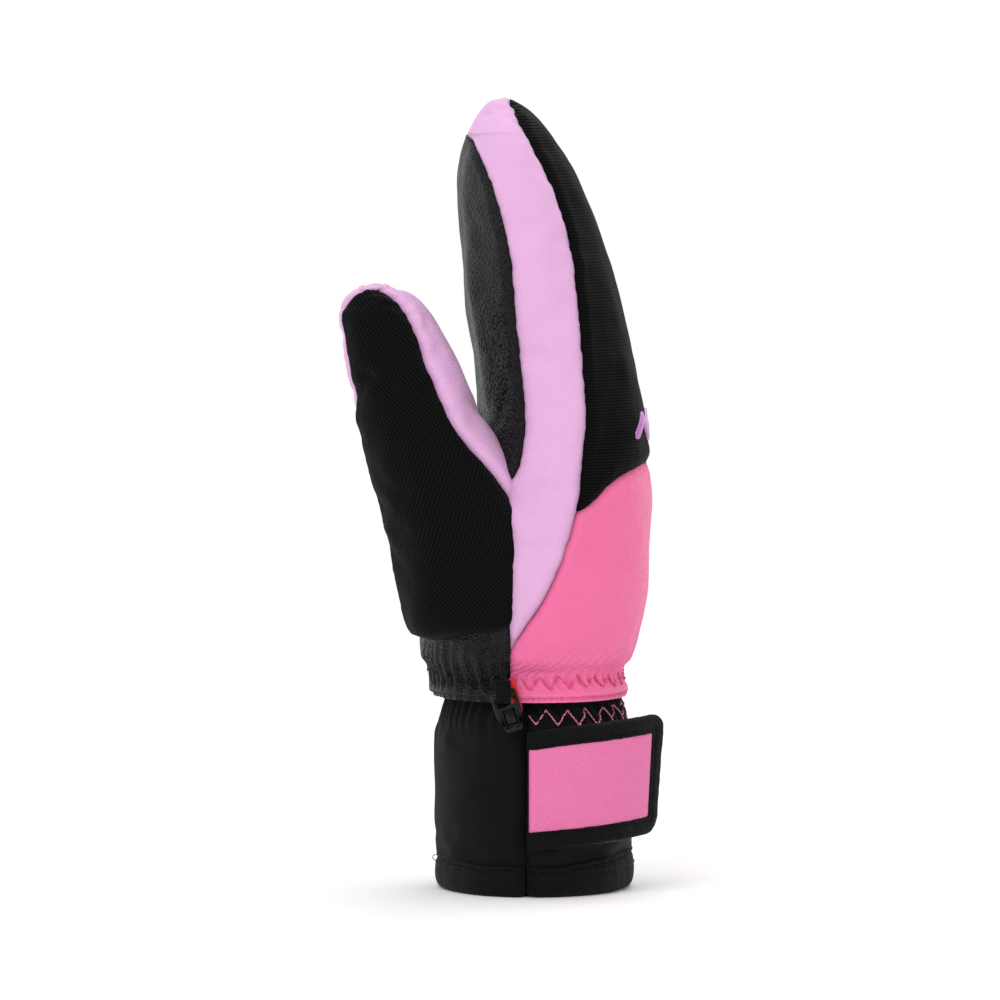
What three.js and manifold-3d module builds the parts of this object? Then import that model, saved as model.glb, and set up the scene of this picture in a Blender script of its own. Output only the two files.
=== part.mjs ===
// A child's ski mitten for the right hand, standing upright on its cuff.
// Millimetres. +Z points to the fingertips, +X to the back of the hand, -X to the palm and -Y to the
// thumb side.
// The origin is at ground level, under the middle of the mitten's bounding box.
//
// Every cloth piece is a thin closed sheet laid on one of four smooth forms: the hand, the thumb, the cuff
// or the wrist strap. A form gives the point at a place along it, at a turn around it, at a depth under
// its surface.
import * as THREE from 'three';
import { mergeVertices } from 'three/addons/utils/BufferGeometryUtils.js';
import Module from 'manifold-3d';

const wasm = await Module();
wasm.setup();

const { clamp, degToRad, lerp } = THREE.MathUtils;

// Layers, as depths under the outer surface, from the outside in.
const GAP = 0.3; // between neighbouring pieces
const PANEL_GAP = 0.36; // between panels sewn edge to edge
const FABRIC = 1.0; // face fabric and palm leather
const PADDING = 2.8;
const LINING = 1.5;
const SHELL_LAYER = [0, FABRIC];
const PADDING_LAYER = [FABRIC + 2 * GAP, FABRIC + 2 * GAP + PADDING];
const LINING_LAYER = [PADDING_LAYER[1] + GAP, PADDING_LAYER[1] + GAP + LINING];

// The hand, as cross-sections from the hem to the fingertips. Each has its palm and back points in the
// side view as [x, z], its half width across the hand, and where the two side seams cross it,
// from -1 at the palm to 1 at the back.
const HAND = {
  low: [
    [-19.5, 58.5], [-21.9, 65], [-24, 74], [-21.6, 89.4], [-18, 105.9], [-12.9, 123.9], [-8.1, 141.9],
    [-8.1, 159], [-9.6, 176.4], [-10.8, 194.4], [-12.1, 211], [-12, 224.4], [-9, 232.8], [-5.4, 237.6],
    [1.5, 239.9],
  ],
  high: [
    [38.7, 58.5], [38.4, 65], [41.4, 73.5], [44.1, 89.4], [44.9, 105.9], [45.3, 122.4], [43.8, 140.4],
    [40.5, 157.8], [36.3, 175.8], [31.1, 193.8], [24.6, 210.3], [17.4, 224.4], [10.8, 234], [5.4, 238.2],
    [1.5, 239.9],
  ],
  middle: Array(15).fill(0),
  half: [34.5, 33.5, 36.5, 41, 43.5, 45, 46, 46, 45.5, 44, 40.5, 34, 25, 14.5, 0],
  palmSeam: [
    -0.24, -0.18, -0.18, -0.26, -0.33, -0.4, -0.47, -0.47, -0.4, -0.38, -0.46, -0.7, -1.25, -1.3, -1.3,
  ],
  backSeam: [-0.24, -0.18, -0.18, 0.06, 0.23, 0.28, 0.3, 0.37, 0.48, 0.58, 0.62, 0.575, 0.56, 0.78, 1.3],
  squareness: 2.3,
  spineEnd: 10.6,
};
const TIP = 14;
const PALM_TOP = 11.54; // where the palm panel comes to its rounded top
const BACK_TOP = 13.42;
const BACK_SEAM_ROWS = [5.35, 5.35, 5.27, 5.05, 4.57]; // column by column, from the middle of the back
const BACK_SEAM_ROW = BACK_SEAM_ROWS.at(-1);
const GUSSET_START = 2.42; // where the side gusset begins, above the hem
const KNUCKLES = 6.5; // the finger pocket folds here
const KNUCKLE_GAP = 0.02;
const SEAM_STEP = 0.02; // half the gap across a panel's top
const LINED_FROM = 1.4; // padding and lining start above the cuff's top

// The thumb, in the same way, from its root inside the hand to its tip. Its seams are turns in degrees.
const THUMB = {
  low: [
    [-19, 74.5], [-27.3, 80.5], [-32.1, 98.4], [-36.3, 116.4], [-41, 134.4],
    [-44.4, 150.9], [-47.7, 165.9], [-48.6, 174.9], [-45, 181.5], [-37.2, 184.6],
  ],
  high: [
    [13, 78], [11.5, 87], [12, 107], [7, 127], [-4.2, 143.4],
    [-11.1, 159.3], [-17.7, 171.6], [-23.4, 179.4], [-30, 183.3], [-37.2, 184.6],
  ],
  middle: [-8, -20, -24, -27.5, -30.5, -32, -33, -33.5, -34, -34],
  half: [17, 20, 21, 21, 19.5, 18, 16, 13, 8, 0],
  nearRight: [15, 15, 20, 45, 56, 63, 58, 57, 64, 90],
  nearLeft: [185, 185, 185, 185, 178, 165, 160, 160, 137, 90],
  farLeft: [185, 185, 185, 185, 186, 195, 202, 204, 223, 270],
  farRight: [345, 345, 340, 315, 304, 297, 302, 303, 296, 270],
  squareness: 2.3,
  spineEnd: 6.6,
};
const THUMB_TIP = 9;
const THUMB_GAP = 0.5; // between the hand and the thumb's edge
const THUMB_PANEL_TOP = 8.6;
const THUMB_STRIP_START = 3.6; // the narrow end of the gusset on the thumb's outer edge

// The emblem is a zigzag: its row, height and width count sections, and its ends are turns in degrees.
const EMBLEM = { peaks: 3, row: 6, height: 0.42, width: 0.12, ends: [34, -34], thickness: 0.8 };

// The cuff is an oval sleeve. Its half thickness changes a little with height.
const CUFF_CENTRE = new THREE.Vector2(10, 0);
const CUFF_STEP = 10; // height between the values below
const CUFF_HALF = [29.2, 29.6, 30, 30, 30, 29.2, 26.1, 25.9];
const CUFF_OVAL = 34 / 30; // width over thickness
const CUFF_TOP = 66;
const CUFF_SEAM = 93.8; // degrees from the back to the side seams
const CUFF_LINING = [2.6, 4.4]; // depths under the cuff's outer surface
const HEM_HEIGHT = 8.7;
const HEM_DEPTHS = [-0.8, 5.2];
const HEM_FOLD = 0.9; // thickness of the tape where it goes round the edge
const ELASTIC = 0.8; // thickness
const CUFF_ELASTIC = { turns: [-85, 85], heights: [49.5, 53.5, 57.5] };
const CARE_LABEL = { turns: [250, 285], heights: [14, 20, 38], thickness: 0.4 };
const LOOP_TAPE = { turns: [28, 62], heights: [15.5, 20, 40, 47], thickness: 1.2 };

// The wrist strap, from the side seam round to its free end on the back.
const STRAP_HALF_HEIGHT = 18.3;
const STRAP_CENTRE = 32.8;
const STRAP_RISE = 3.4;
const STRAP_TURNS = [93, 16];
const STRAP_LENGTH = 49;
const STRAP_CORNER = { radius: 5, shrink: 0.6, least: 1.5 }; // shrink is per millimetre of inset
const STRAP_OFF_CUFF = { sewn: 1.9, slope: 1.2, curl: 5.9 };
// Along the strap: equal steps, then closer ones round the corners, as fractions before its free end.
const STRAP_COLUMNS = { straight: 5, straightEnd: 0.13, corner: [0.07, 0.03, 0.01, 0] };
const STRAP_ROWS = [-1, -0.85, 0, 0.85, 1];
const BINDING_WIDTH = 5.4;
// The strap's layers, as depths from its middle surface.
const STRAP_BINDING = [-1.5, 1.5];
const STRAP_BACKING = [-0.6, 0.6];
const STRAP_FACE = [-1.5, -0.9];
const STRAP_HOOKS = { depths: [0.9, 1.9], along: [0.44, 0.92], inset: BINDING_WIDTH + 0.8 };
const BACKING_INSET = 0.9;

// The clip that holds a pair of mittens together, and the tape it hangs from.
const CLIP_AXIS = new THREE.Vector3(1.2, -38.2, 61.2);
const CLIP_LEAN = degToRad(18);
const CLIP_HALF_WIDTH = 4.2;
const CLIP_LENGTH = 12.4; // from the axis to the nose
const CLIP_THICKNESS = 3;
const CLIP_TOP = { rise: 0.2, corner: 1 };
const CLIP_NECK = { starts: 6.4, ends: 9, halfWidth: 2.6 };
const CLIP_NOSE = { centre: 1.6, radius: 1.2 };
const CLIP_SLOT = { width: 6, height: 2.2, centre: -2.2 }; // for the hanging tape
const CLIP_WINDOW = { width: 4, height: 5.2, centre: -7.2 };
const CLIP_TONGUE = { width: 3.4, thickness: 1, height: 4.6, lift: 0.2 };
const THROUGH = 6; // deep enough to cut right through the clip
const TAPE_WIDTH = 5;
const TAPE_INSIDE = 2.2;
const TAPE_THICKNESS = 0.7;
const TAPE_RISE = 3.6; // between the tape's two rounded ends

// The side tab hangs a little outwards and towards the back.
const TAB_TOP = new THREE.Vector3(6.4, -35.1, 65.5);
const TAB_DROP = new THREE.Vector3(2.4, 1, -11);
const TAB_WIDTH = 4.2;
const TAB_THICKNESS = 0.5;

const lilacCloth = new THREE.MeshStandardMaterial({ color: 0xe9b7e2, roughness: 0.78 });
const pinkCloth = new THREE.MeshStandardMaterial({ color: 0xf4749f, roughness: 0.78 });
const blackCloth = new THREE.MeshStandardMaterial({ color: 0x1b1d1e, roughness: 0.82 });
const palmLeather = new THREE.MeshStandardMaterial({ color: 0x1f2023, roughness: 0.42 });
const cuffCloth = new THREE.MeshStandardMaterial({ color: 0x161616, roughness: 0.9 });
const strapCloth = new THREE.MeshStandardMaterial({ color: 0xee80b2, roughness: 0.6 });
const tape = new THREE.MeshStandardMaterial({ color: 0x151617, roughness: 0.85 });
const wadding = new THREE.MeshStandardMaterial({ color: 0xf2f1ee, roughness: 1 });
const fleece = new THREE.MeshStandardMaterial({ color: 0x26262a, roughness: 1 });
const elastic = new THREE.MeshStandardMaterial({ color: 0xdedcd6, roughness: 0.8 });
const clipPlastic = new THREE.MeshStandardMaterial({ color: 0x0d0d0f, roughness: 0.25 });
const labelRed = new THREE.MeshStandardMaterial({ color: 0xe02a20, roughness: 0.6 });
const labelGrey = new THREE.MeshStandardMaterial({ color: 0xc9c9c9, roughness: 0.7 });
const emblemFoil = new THREE.MeshStandardMaterial({ color: 0xb58ac4, roughness: 0.35, metalness: 0.5 });

// ---- Smooth forms ----

// A smooth curve through equally spaced values, or through points.
function through(values, t) {
  if (Array.isArray(values[0])) {
    return values[0].map((_, k) => through(values.map((value) => value[k]), t));
  }
  const last = values.length - 1;
  const i = clamp(Math.floor(t), 0, last - 1);
  const f = t - i;
  const [a, b, c, d] = [i - 1, i, i + 1, i + 2].map((k) => values[clamp(k, 0, last)]);
  return b + (f / 2) * (c - a + f * (2 * a - 5 * b + 4 * c - d + f * (3 * (b - c) + d - a)));
}

function spine(form, t) {
  const low = through(form.low, Math.min(t, form.spineEnd));
  const high = through(form.high, Math.min(t, form.spineEnd));
  const middle = through(form.middle, Math.min(t, form.spineEnd));
  return new THREE.Vector3((low[0] + high[0]) / 2, middle, (low[1] + high[1]) / 2);
}

// The hand or the thumb: turn 0 is its high edge, a quarter turn its near side and a half turn its low edge.
function onForm(form, t, turn, depth) {
  const low = through(form.low, t);
  const high = through(form.high, t);
  const power = 2 / form.squareness;
  const along = Math.sign(Math.cos(turn)) * Math.abs(Math.cos(turn)) ** power;
  const across = Math.sign(Math.sin(turn)) * Math.abs(Math.sin(turn)) ** power;
  const point = new THREE.Vector3(
    lerp(low[0], high[0], (1 + along) / 2),
    through(form.middle, t) - across * Math.max(through(form.half, t), 0),
    lerp(low[1], high[1], (1 + along) / 2),
  );
  const inward = spine(form, t).sub(point).normalize();
  return point.addScaledVector(inward, depth);
}

function onCuff(z, turn, depth) {
  const half = through(CUFF_HALF, z / CUFF_STEP);
  return new THREE.Vector3(
    CUFF_CENTRE.x + (half - depth) * Math.cos(turn),
    CUFF_CENTRE.y - (half * CUFF_OVAL - depth) * Math.sin(turn),
    z,
  );
}

// The strap's middle surface stands further off the cuff towards its free end. s runs along it from 0 to 1.
function onStrap(s, height, depth) {
  const turn = degToRad(lerp(STRAP_TURNS[0], STRAP_TURNS[1], s));
  const offCuff = STRAP_OFF_CUFF.sewn + STRAP_OFF_CUFF.slope * s + STRAP_OFF_CUFF.curl * s * s;
  const point = onCuff(STRAP_CENTRE, turn, depth - offCuff);
  point.z = STRAP_CENTRE + STRAP_RISE * (s - 0.5) + height;
  return point;
}

// ---- Closed solids ----

// The sheet between place(u, v, depths[0]) and place(u, v, depths[1]), closed along its edges.
// Where wraps is true its last u meets its first.
function sheet(us, vs, depths, place, wraps = false) {
  const corners = [];
  for (const depth of depths) {
    for (const v of vs) {
      for (const u of us) corners.push(...place(u, v, depth).toArray());
    }
  }
  const wide = us.length;
  const high = vs.length;
  const at = (side, j, i) => (side * high + j) * wide + i;
  const index = [];
  const quad = (a, b, c, d) => index.push(a, b, c, a, c, d);
  for (let j = 0; j + 1 < high; j++) {
    for (let i = 0; i + 1 < wide; i++) {
      quad(at(0, j, i), at(0, j, i + 1), at(0, j + 1, i + 1), at(0, j + 1, i));
      quad(at(1, j, i), at(1, j + 1, i), at(1, j + 1, i + 1), at(1, j, i + 1));
    }
  }
  for (let i = 0; i + 1 < wide; i++) {
    quad(at(0, 0, i + 1), at(0, 0, i), at(1, 0, i), at(1, 0, i + 1));
    quad(at(0, high - 1, i), at(0, high - 1, i + 1), at(1, high - 1, i + 1), at(1, high - 1, i));
  }
  for (let j = 0; j + 1 < high && !wraps; j++) {
    quad(at(0, j, 0), at(0, j + 1, 0), at(1, j + 1, 0), at(1, j, 0));
    quad(at(0, j + 1, wide - 1), at(0, j, wide - 1), at(1, j, wide - 1), at(1, j + 1, wide - 1));
  }
  const geometry = new THREE.BufferGeometry();
  geometry.setAttribute('position', new THREE.Float32BufferAttribute(corners, 3));
  geometry.setIndex(index);
  return toSolid(geometry);
}

// A manifold-3d solid from a closed geometry, whichever way its faces point.
function toSolid(geometry) {
  const bare = new THREE.BufferGeometry();
  bare.setAttribute('position', geometry.getAttribute('position').clone());
  bare.setIndex(geometry.index);
  const merged = mergeVertices(bare, 1e-4);
  const position = merged.getAttribute('position');
  const [a, b, c] = [new THREE.Vector3(), new THREE.Vector3(), new THREE.Vector3()];
  let triangles = [];
  let volume = 0;
  for (let k = 0; k < merged.index.count; k += 3) {
    const corner = [0, 1, 2].map((n) => merged.index.getX(k + n));
    if (new Set(corner).size < 3) continue;
    [a, b, c].forEach((point, n) => point.fromBufferAttribute(position, corner[n]));
    volume += a.dot(b.cross(c));
    triangles.push(corner);
  }
  if (volume < 0) triangles = triangles.map(([i, j, k]) => [i, k, j]);
  const mesh = new wasm.Mesh({
    numProp: 3,
    vertProperties: new Float32Array(position.array),
    triVerts: new Uint32Array(triangles.flat()),
  });
  return new wasm.Manifold(mesh);
}

function toGeometry(solid) {
  const { vertProperties, triVerts } = solid.getMesh();
  const geometry = new THREE.BufferGeometry();
  geometry.setAttribute('position', new THREE.BufferAttribute(new Float32Array(vertProperties), 3));
  geometry.setIndex(new THREE.BufferAttribute(new Uint32Array(triVerts), 1));
  geometry.computeVertexNormals();
  return geometry;
}

// count + 1 equal steps between two values.
function steps(from, to, count) {
  return Array.from({ length: count + 1 }, (_, k) => lerp(from, to, k / count));
}

// Half the gap between two panels, as a turn.
function halfGap(form, t) {
  const [low, high] = [through(form.low, t), through(form.high, t)];
  const thick = Math.hypot(high[0] - low[0], high[1] - low[1]) / 2;
  return PANEL_GAP / 2 / Math.max((thick + through(form.half, t)) / 2, 3);
}

// All layers of a form share one grid of columns, which follows its seams, so that nested layers never meet.
// seams(t) gives the turns of the seams and columns says how many columns lie between each pair of them.
function turnAt(form, column, t) {
  const seams = form.seams(t);
  let first = 0;
  for (let k = 0; k < form.columns.length; k++) {
    const wide = form.columns[k];
    if (column <= first + wide) return lerp(seams[k], seams[k + 1], (column - first) / wide);
    first += wide;
  }
  return seams.at(-1);
}

// A panel from one seam to another, as column numbers, drawn in by half a gap at both.
function panel(form, from, to, rows, rowAt = (_, v) => v) {
  const place = (column, v, depth) => {
    const t = rowAt(column, v);
    const draw = column === from ? 1 : column === to ? -1 : 0;
    return onForm(form, t, turnAt(form, column, t) + draw * halfGap(form, t), depth);
  };
  return sheet(steps(from, to, to - from), rows, SHELL_LAYER, place);
}

// A closed ring of one layer, all round a form.
function ring(form, rows, layer) {
  const last = form.columns.reduce((sum, n) => sum + n);
  const place = (column, t, depth) => onForm(form, t, turnAt(form, column, t), depth);
  return sheet(steps(0, last, last), rows, layer, place, true);
}

// The whole inside of a form below one depth, as a solid.
function inside(form, rows, depth) {
  const last = form.columns.reduce((sum, n) => sum + n);
  const place = (k, t, side) => (side ? spine(form, t) : onForm(form, t, turnAt(form, k, t), depth));
  return sheet(steps(0, last, last), rows, [0, 1], place, true);
}

const mitten = new THREE.Group();

function addPiece(name, solid, material, parent = mitten) {
  const mesh = new THREE.Mesh(toGeometry(solid), material);
  mesh.name = name;
  parent.add(mesh);
  return mesh;
}

// ---- The hand: face fabric panels, padding and lining ----

// Columns run from the back's middle round the thumb side to the palm and on round the little-finger side.
const BACK_SEAM = 4;
const PALM_SEAM = 8;
const HAND_COLUMNS = 24;
HAND.columns = [4, 4, 8, 4, 4];
HAND.seams = (t) => {
  const [palm, back] = [HAND.palmSeam, HAND.backSeam].map((seam) => {
    const c = clamp(through(seam, t), -1, 1);
    return Math.acos(Math.sign(c) * Math.abs(c) ** (HAND.squareness / 2));
  });
  const whole = 2 * Math.PI;
  return [0, Math.min(back, palm), palm, whole - palm, whole - Math.min(back, palm), whole];
};

const handTop = KNUCKLES - KNUCKLE_GAP / 2;
const fingerBottom = KNUCKLES + KNUCKLE_GAP / 2;
const fingerRows = [
  fingerBottom, 7, 8, 9, 10, 11, 11.35, PALM_TOP + SEAM_STEP, 12, 12.6, 13.1, BACK_TOP + SEAM_STEP, TIP,
];
const handRows = [0, 0.5, 1, LINED_FROM, 2, GUSSET_START, 3, 4, BACK_SEAM_ROW, 5, 6, handTop];
const handOutside = inside(HAND, [...handRows, ...fingerRows.slice(1)], -THUMB_GAP);

// The seam across the back of the hand, between two panels, drops from its middle to the side gussets.
function backSeamRow(column) {
  return through(BACK_SEAM_ROWS, Math.abs(column));
}

// A back panel crosses column 0, so it is laid on a copy of the form that starts half a turn earlier.
const BACK_FIRST = { ...HAND, columns: [2 * BACK_SEAM], seams: (t) => [-HAND.seams(t)[1], HAND.seams(t)[1]] };
function backPanel(rows, rowAt) {
  return panel(BACK_FIRST, 0, 2 * BACK_SEAM, rows, rowAt && ((column, v) => rowAt(column - BACK_SEAM, v)));
}

// One side gusset. Past the tops of the palm and back panels it overlaps its other half by a hair.
const HALVES_OVERLAP = 0.015; // as a turn
function sideGusset(side, rows) {
  const columns = side > 0 ? [BACK_SEAM, PALM_SEAM] : [HAND_COLUMNS - PALM_SEAM, HAND_COLUMNS - BACK_SEAM];
  const place = (column, t, depth) => {
    const fromBack = Math.min(column, HAND_COLUMNS - column);
    const pastPanel = t > (fromBack === BACK_SEAM ? BACK_TOP : PALM_TOP);
    const draw = column === columns[0] ? 1 : column === columns[1] ? -1 : 0;
    const shift = pastPanel ? -HALVES_OVERLAP : halfGap(HAND, t);
    return onForm(HAND, t, turnAt(HAND, column, t) + draw * shift, depth);
  };
  return sheet(steps(...columns, PALM_SEAM - BACK_SEAM), rows, SHELL_LAYER, place);
}

const thumbRows = [0, 1, 2, 3, 4, 5, 6, 7, 8, THUMB_PANEL_TOP + SEAM_STEP, THUMB_TIP];
// Columns run from the web round the near side to the thumb's outer edge and back along its palm side.
THUMB.columns = [2, 5, 3, 5, 2];
THUMB.seams = (t) => {
  const seams = [THUMB.nearRight, THUMB.nearLeft, THUMB.farLeft, THUMB.farRight];
  return [0, ...seams.map((seam) => through(seam, t)), 360].map(degToRad);
};
const thumbHollow = inside(THUMB, thumbRows, LINING_LAYER[1]);

const gussetRows = handRows.filter((t) => t >= GUSSET_START);
const palmRows = [...fingerRows.filter((t) => t < PALM_TOP), PALM_TOP - SEAM_STEP];
const backRows = [...fingerRows.filter((t) => t < BACK_TOP), BACK_TOP - SEAM_STEP];
const levelRows = handRows.filter((t) => t <= 4);
const levelTop = levelRows.at(-1);
const slopes = [0.5, 1]; // fractions of the way from the last level row to the back seam
const lowerBack = backPanel([...levelRows, ...slopes.map((f) => levelTop + f)], (column, v) => {
  return v > levelTop ? lerp(levelTop, backSeamRow(column) - SEAM_STEP / 2, v - levelTop) : v;
});
const upperBack = backPanel([0, 0.5, 1], (column, v) => {
  return lerp(backSeamRow(column) + SEAM_STEP / 2, handTop, v);
});
const palm = [PALM_SEAM, HAND_COLUMNS - PALM_SEAM];
addPiece('palm_panel_hand', panel(HAND, ...palm, handRows).subtract(thumbHollow), palmLeather);
addPiece('palm_panel_fingers', panel(HAND, ...palm, palmRows), palmLeather);
addPiece('back_panel_lower', lowerBack, pinkCloth);
addPiece('back_panel_hand', upperBack, blackCloth);
addPiece('back_panel_fingers', backPanel(backRows), blackCloth);
addPiece('side_gusset_thumb_side', sideGusset(1, gussetRows), lilacCloth);
addPiece('side_gusset_little_side', sideGusset(-1, gussetRows), lilacCloth);
addPiece('side_gusset_fingers', sideGusset(1, fingerRows).add(sideGusset(-1, fingerRows)), lilacCloth);

const linedRows = handRows.filter((t) => t >= LINED_FROM);
const innerLayers = [['padding', PADDING_LAYER, wadding], ['lining', LINING_LAYER, fleece]];
for (const [name, layer, material] of innerLayers) {
  addPiece(`${name}_hand`, ring(HAND, linedRows, layer).subtract(thumbHollow), material);
  addPiece(`${name}_fingers`, ring(HAND, fingerRows, layer), material);
}

// ---- The thumb, which ends on the hand's outer surface ----

const WEB_START = 3; // where the gusset's wide side begins, inside the hand
const STRIP_END = THUMB_TIP - 0.1;
const thumbPanelRows = [...thumbRows.filter((t) => t < THUMB_PANEL_TOP), THUMB_PANEL_TOP - SEAM_STEP];
const stripRows = [THUMB_STRIP_START, ...thumbPanelRows.filter((t) => t > THUMB_STRIP_START), STRIP_END];
const webRows = [...thumbPanelRows.filter((t) => t >= WEB_START), STRIP_END];

// The web side crosses column 0 too, so the panels are laid on a copy that starts at the far right seam.
const thumbTurns = {
  ...THUMB,
  columns: [4, 5, 3, 5],
  seams: (t) => {
    const [, nearRight, nearLeft, farLeft, farRight] = THUMB.seams(t);
    return [farRight - 2 * Math.PI, nearRight, nearLeft, farLeft, farRight];
  },
};
const tipRows = thumbRows.filter((t) => t >= THUMB_PANEL_TOP);
const thumbGusset = panel(thumbTurns, 0, 4, webRows)
  .add(panel(thumbTurns, 9, 12, stripRows))
  .add(ring(THUMB, tipRows, SHELL_LAYER));
addPiece('thumb_back_panel', panel(thumbTurns, 4, 9, thumbPanelRows).subtract(handOutside), blackCloth);
addPiece('thumb_palm_panel', panel(thumbTurns, 12, 17, thumbPanelRows).subtract(handOutside), palmLeather);
addPiece('thumb_gusset', thumbGusset.subtract(handOutside), lilacCloth);
addPiece('thumb_padding', ring(THUMB, thumbRows, PADDING_LAYER).subtract(handOutside), wadding);
addPiece('thumb_lining', ring(THUMB, thumbRows, LINING_LAYER).subtract(handOutside), fleece);

// ---- The wrist and the cuff ----

function cuffSheet(fromTurn, toTurn, heights, depths, columns) {
  const turns = steps(degToRad(fromTurn), degToRad(toTurn), columns);
  return sheet(turns, heights, depths, (turn, z, depth) => onCuff(z, turn, depth), toTurn - fromTurn === 360);
}

// The bound lower edge of one cuff panel: a tape folded round panel and lining.
function hemBinding(fromTurn, toTurn, columns) {
  const BEYOND = 5; // degrees past both ends
  const inside = [-GAP, CUFF_LINING[1] + GAP];
  const whole = cuffSheet(fromTurn, toTurn, [0, HEM_HEIGHT], HEM_DEPTHS, columns);
  const slot = cuffSheet(fromTurn - BEYOND, toTurn + BEYOND, [HEM_FOLD, HEM_HEIGHT + 1], inside, columns + 2);
  return whole.subtract(slot);
}

const CUFF_ROWS = [1.3, 10, 20, 40, 49.5, 53.5, 57.5, 61, CUFF_TOP];
const SEAM_GAP = 0.3; // degrees
const backEdge = CUFF_SEAM - SEAM_GAP;
const palmEdges = [CUFF_SEAM + SEAM_GAP, 360 - CUFF_SEAM - SEAM_GAP];
const HALF_ROUND = 12; // columns
const elasticLayer = [FABRIC + GAP, FABRIC + GAP + ELASTIC];
const labelLayer = [CUFF_LINING[1] + GAP, CUFF_LINING[1] + GAP + CARE_LABEL.thickness];
const loopLayer = [-GAP - LOOP_TAPE.thickness, -GAP];
const backEdges = [-backEdge, backEdge];
addPiece('wrist_elastic', ring(HAND, [0.5, 1], elasticLayer), elastic);
addPiece('cuff_palm_panel', cuffSheet(...palmEdges, CUFF_ROWS, SHELL_LAYER, HALF_ROUND), cuffCloth);
addPiece('cuff_back_panel', cuffSheet(...backEdges, CUFF_ROWS, SHELL_LAYER, HALF_ROUND), blackCloth);
addPiece('cuff_elastic', cuffSheet(...CUFF_ELASTIC.turns, CUFF_ELASTIC.heights, elasticLayer, 10), elastic);
addPiece('cuff_lining', cuffSheet(0, 360, CUFF_ROWS, CUFF_LINING, 2 * HALF_ROUND), fleece);
addPiece('hem_binding_palm', hemBinding(...palmEdges, HALF_ROUND), tape);
addPiece('hem_binding_back', hemBinding(...backEdges, HALF_ROUND), tape);
addPiece('care_label', cuffSheet(...CARE_LABEL.turns, CARE_LABEL.heights, labelLayer, 3), labelGrey);
addPiece('loop_tape', cuffSheet(...LOOP_TAPE.turns, LOOP_TAPE.heights, loopLayer, 5), tape);

// A raised zigzag ridge across the back of the hand, in place of any mark.
function emblem() {
  const { peaks, row, height, width, ends, thickness } = EMBLEM;
  const place = (u, v, depth) => {
    const phase = Math.abs(((u * peaks * 2) % 2) - 1);
    const t = row + height * (0.5 - phase) + width * (v - 0.5);
    return onForm(HAND, t, degToRad(lerp(...ends, u)), depth);
  };
  return sheet(steps(0, 1, peaks * 4), [0, 1], [-GAP - thickness, -GAP], place);
}
addPiece('emblem', emblem(), emblemFoil);

// ---- The wrist strap: backing, bound edge, coloured face and hook tape ----

// The backing's outline, drawn in by inset, between two depths. Its free end has round corners.
function strapSheet(inset, depths, from = 0, to = 1) {
  const { straight, straightEnd, corner } = STRAP_COLUMNS;
  const end = to - inset / STRAP_LENGTH;
  const columns = [...steps(from, end - straightEnd, straight), ...corner.map((back) => end - back)];
  const place = (s, v, depth) => {
    const radius = Math.max(STRAP_CORNER.radius - inset * STRAP_CORNER.shrink, STRAP_CORNER.least);
    const toEnd = Math.min((end - s) * STRAP_LENGTH, radius);
    const cut = to === 1 ? radius - Math.sqrt(radius ** 2 - (radius - toEnd) ** 2) : 0;
    return onStrap(s, v * (STRAP_HALF_HEIGHT - inset - cut), depth);
  };
  return sheet(columns, STRAP_ROWS, depths, place);
}

const strap = new THREE.Group();
mitten.add(strap);
const BEFORE_START = -0.1;
const tapeSlot = STRAP_BACKING.map((depth) => depth + GAP * Math.sign(depth));
const binding = strapSheet(0, STRAP_BINDING)
  .subtract(strapSheet(BINDING_WIDTH, STRAP_BINDING.map((depth) => 2 * depth), BEFORE_START))
  .subtract(strapSheet(BACKING_INSET - GAP, tapeSlot, BEFORE_START));
addPiece('strap_backing', strapSheet(BACKING_INSET, STRAP_BACKING), tape, strap);
addPiece('strap_binding', binding, tape, strap);
addPiece('strap_face', strapSheet(BINDING_WIDTH + GAP, STRAP_FACE), strapCloth, strap);
const hooks = strapSheet(STRAP_HOOKS.inset, STRAP_HOOKS.depths, ...STRAP_HOOKS.along);
addPiece('strap_hook_tape', hooks, tape, strap);

// ---- The clip, its tongue, its hanging tape, and a plain side tab ----

// An outline in the clip's own plane, made solid about that plane.
function plate(shape, thickness) {
  const settings = { depth: thickness, bevelEnabled: false, curveSegments: 5 };
  const geometry = new THREE.ExtrudeGeometry(shape, settings);
  geometry.translate(0, 0, -thickness / 2);
  geometry.rotateX(Math.PI / 2);
  return toSolid(geometry);
}

function box(width, thickness, height, x, y, z) {
  return toSolid(new THREE.BoxGeometry(width, thickness, height).translate(x, y, z));
}

function clipFrame() {
  const { rise, corner } = CLIP_TOP;
  const { centre, radius } = CLIP_NOSE;
  const noseHeight = radius - CLIP_LENGTH;
  const outline = new THREE.Shape();
  outline.moveTo(-CLIP_HALF_WIDTH, rise);
  outline.absarc(-CLIP_HALF_WIDTH + corner, rise, corner, Math.PI, Math.PI / 2, true);
  outline.absarc(CLIP_HALF_WIDTH - corner, rise, corner, Math.PI / 2, 0, true);
  outline.lineTo(CLIP_HALF_WIDTH, -CLIP_NECK.starts);
  outline.lineTo(CLIP_NECK.halfWidth, -CLIP_NECK.ends);
  outline.absarc(centre, noseHeight, radius, 0, -Math.PI / 2, true);
  outline.absarc(-centre, noseHeight, radius, -Math.PI / 2, Math.PI, true);
  outline.lineTo(-CLIP_NECK.halfWidth, -CLIP_NECK.ends);
  outline.lineTo(-CLIP_HALF_WIDTH, -CLIP_NECK.starts);
  const slot = box(CLIP_SLOT.width, THROUGH, CLIP_SLOT.height, 0, 0, CLIP_SLOT.centre);
  const window = box(CLIP_WINDOW.width, THROUGH, CLIP_WINDOW.height, 0, 0, CLIP_WINDOW.centre);
  return plate(outline, CLIP_THICKNESS).subtract(slot).subtract(window);
}

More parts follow.
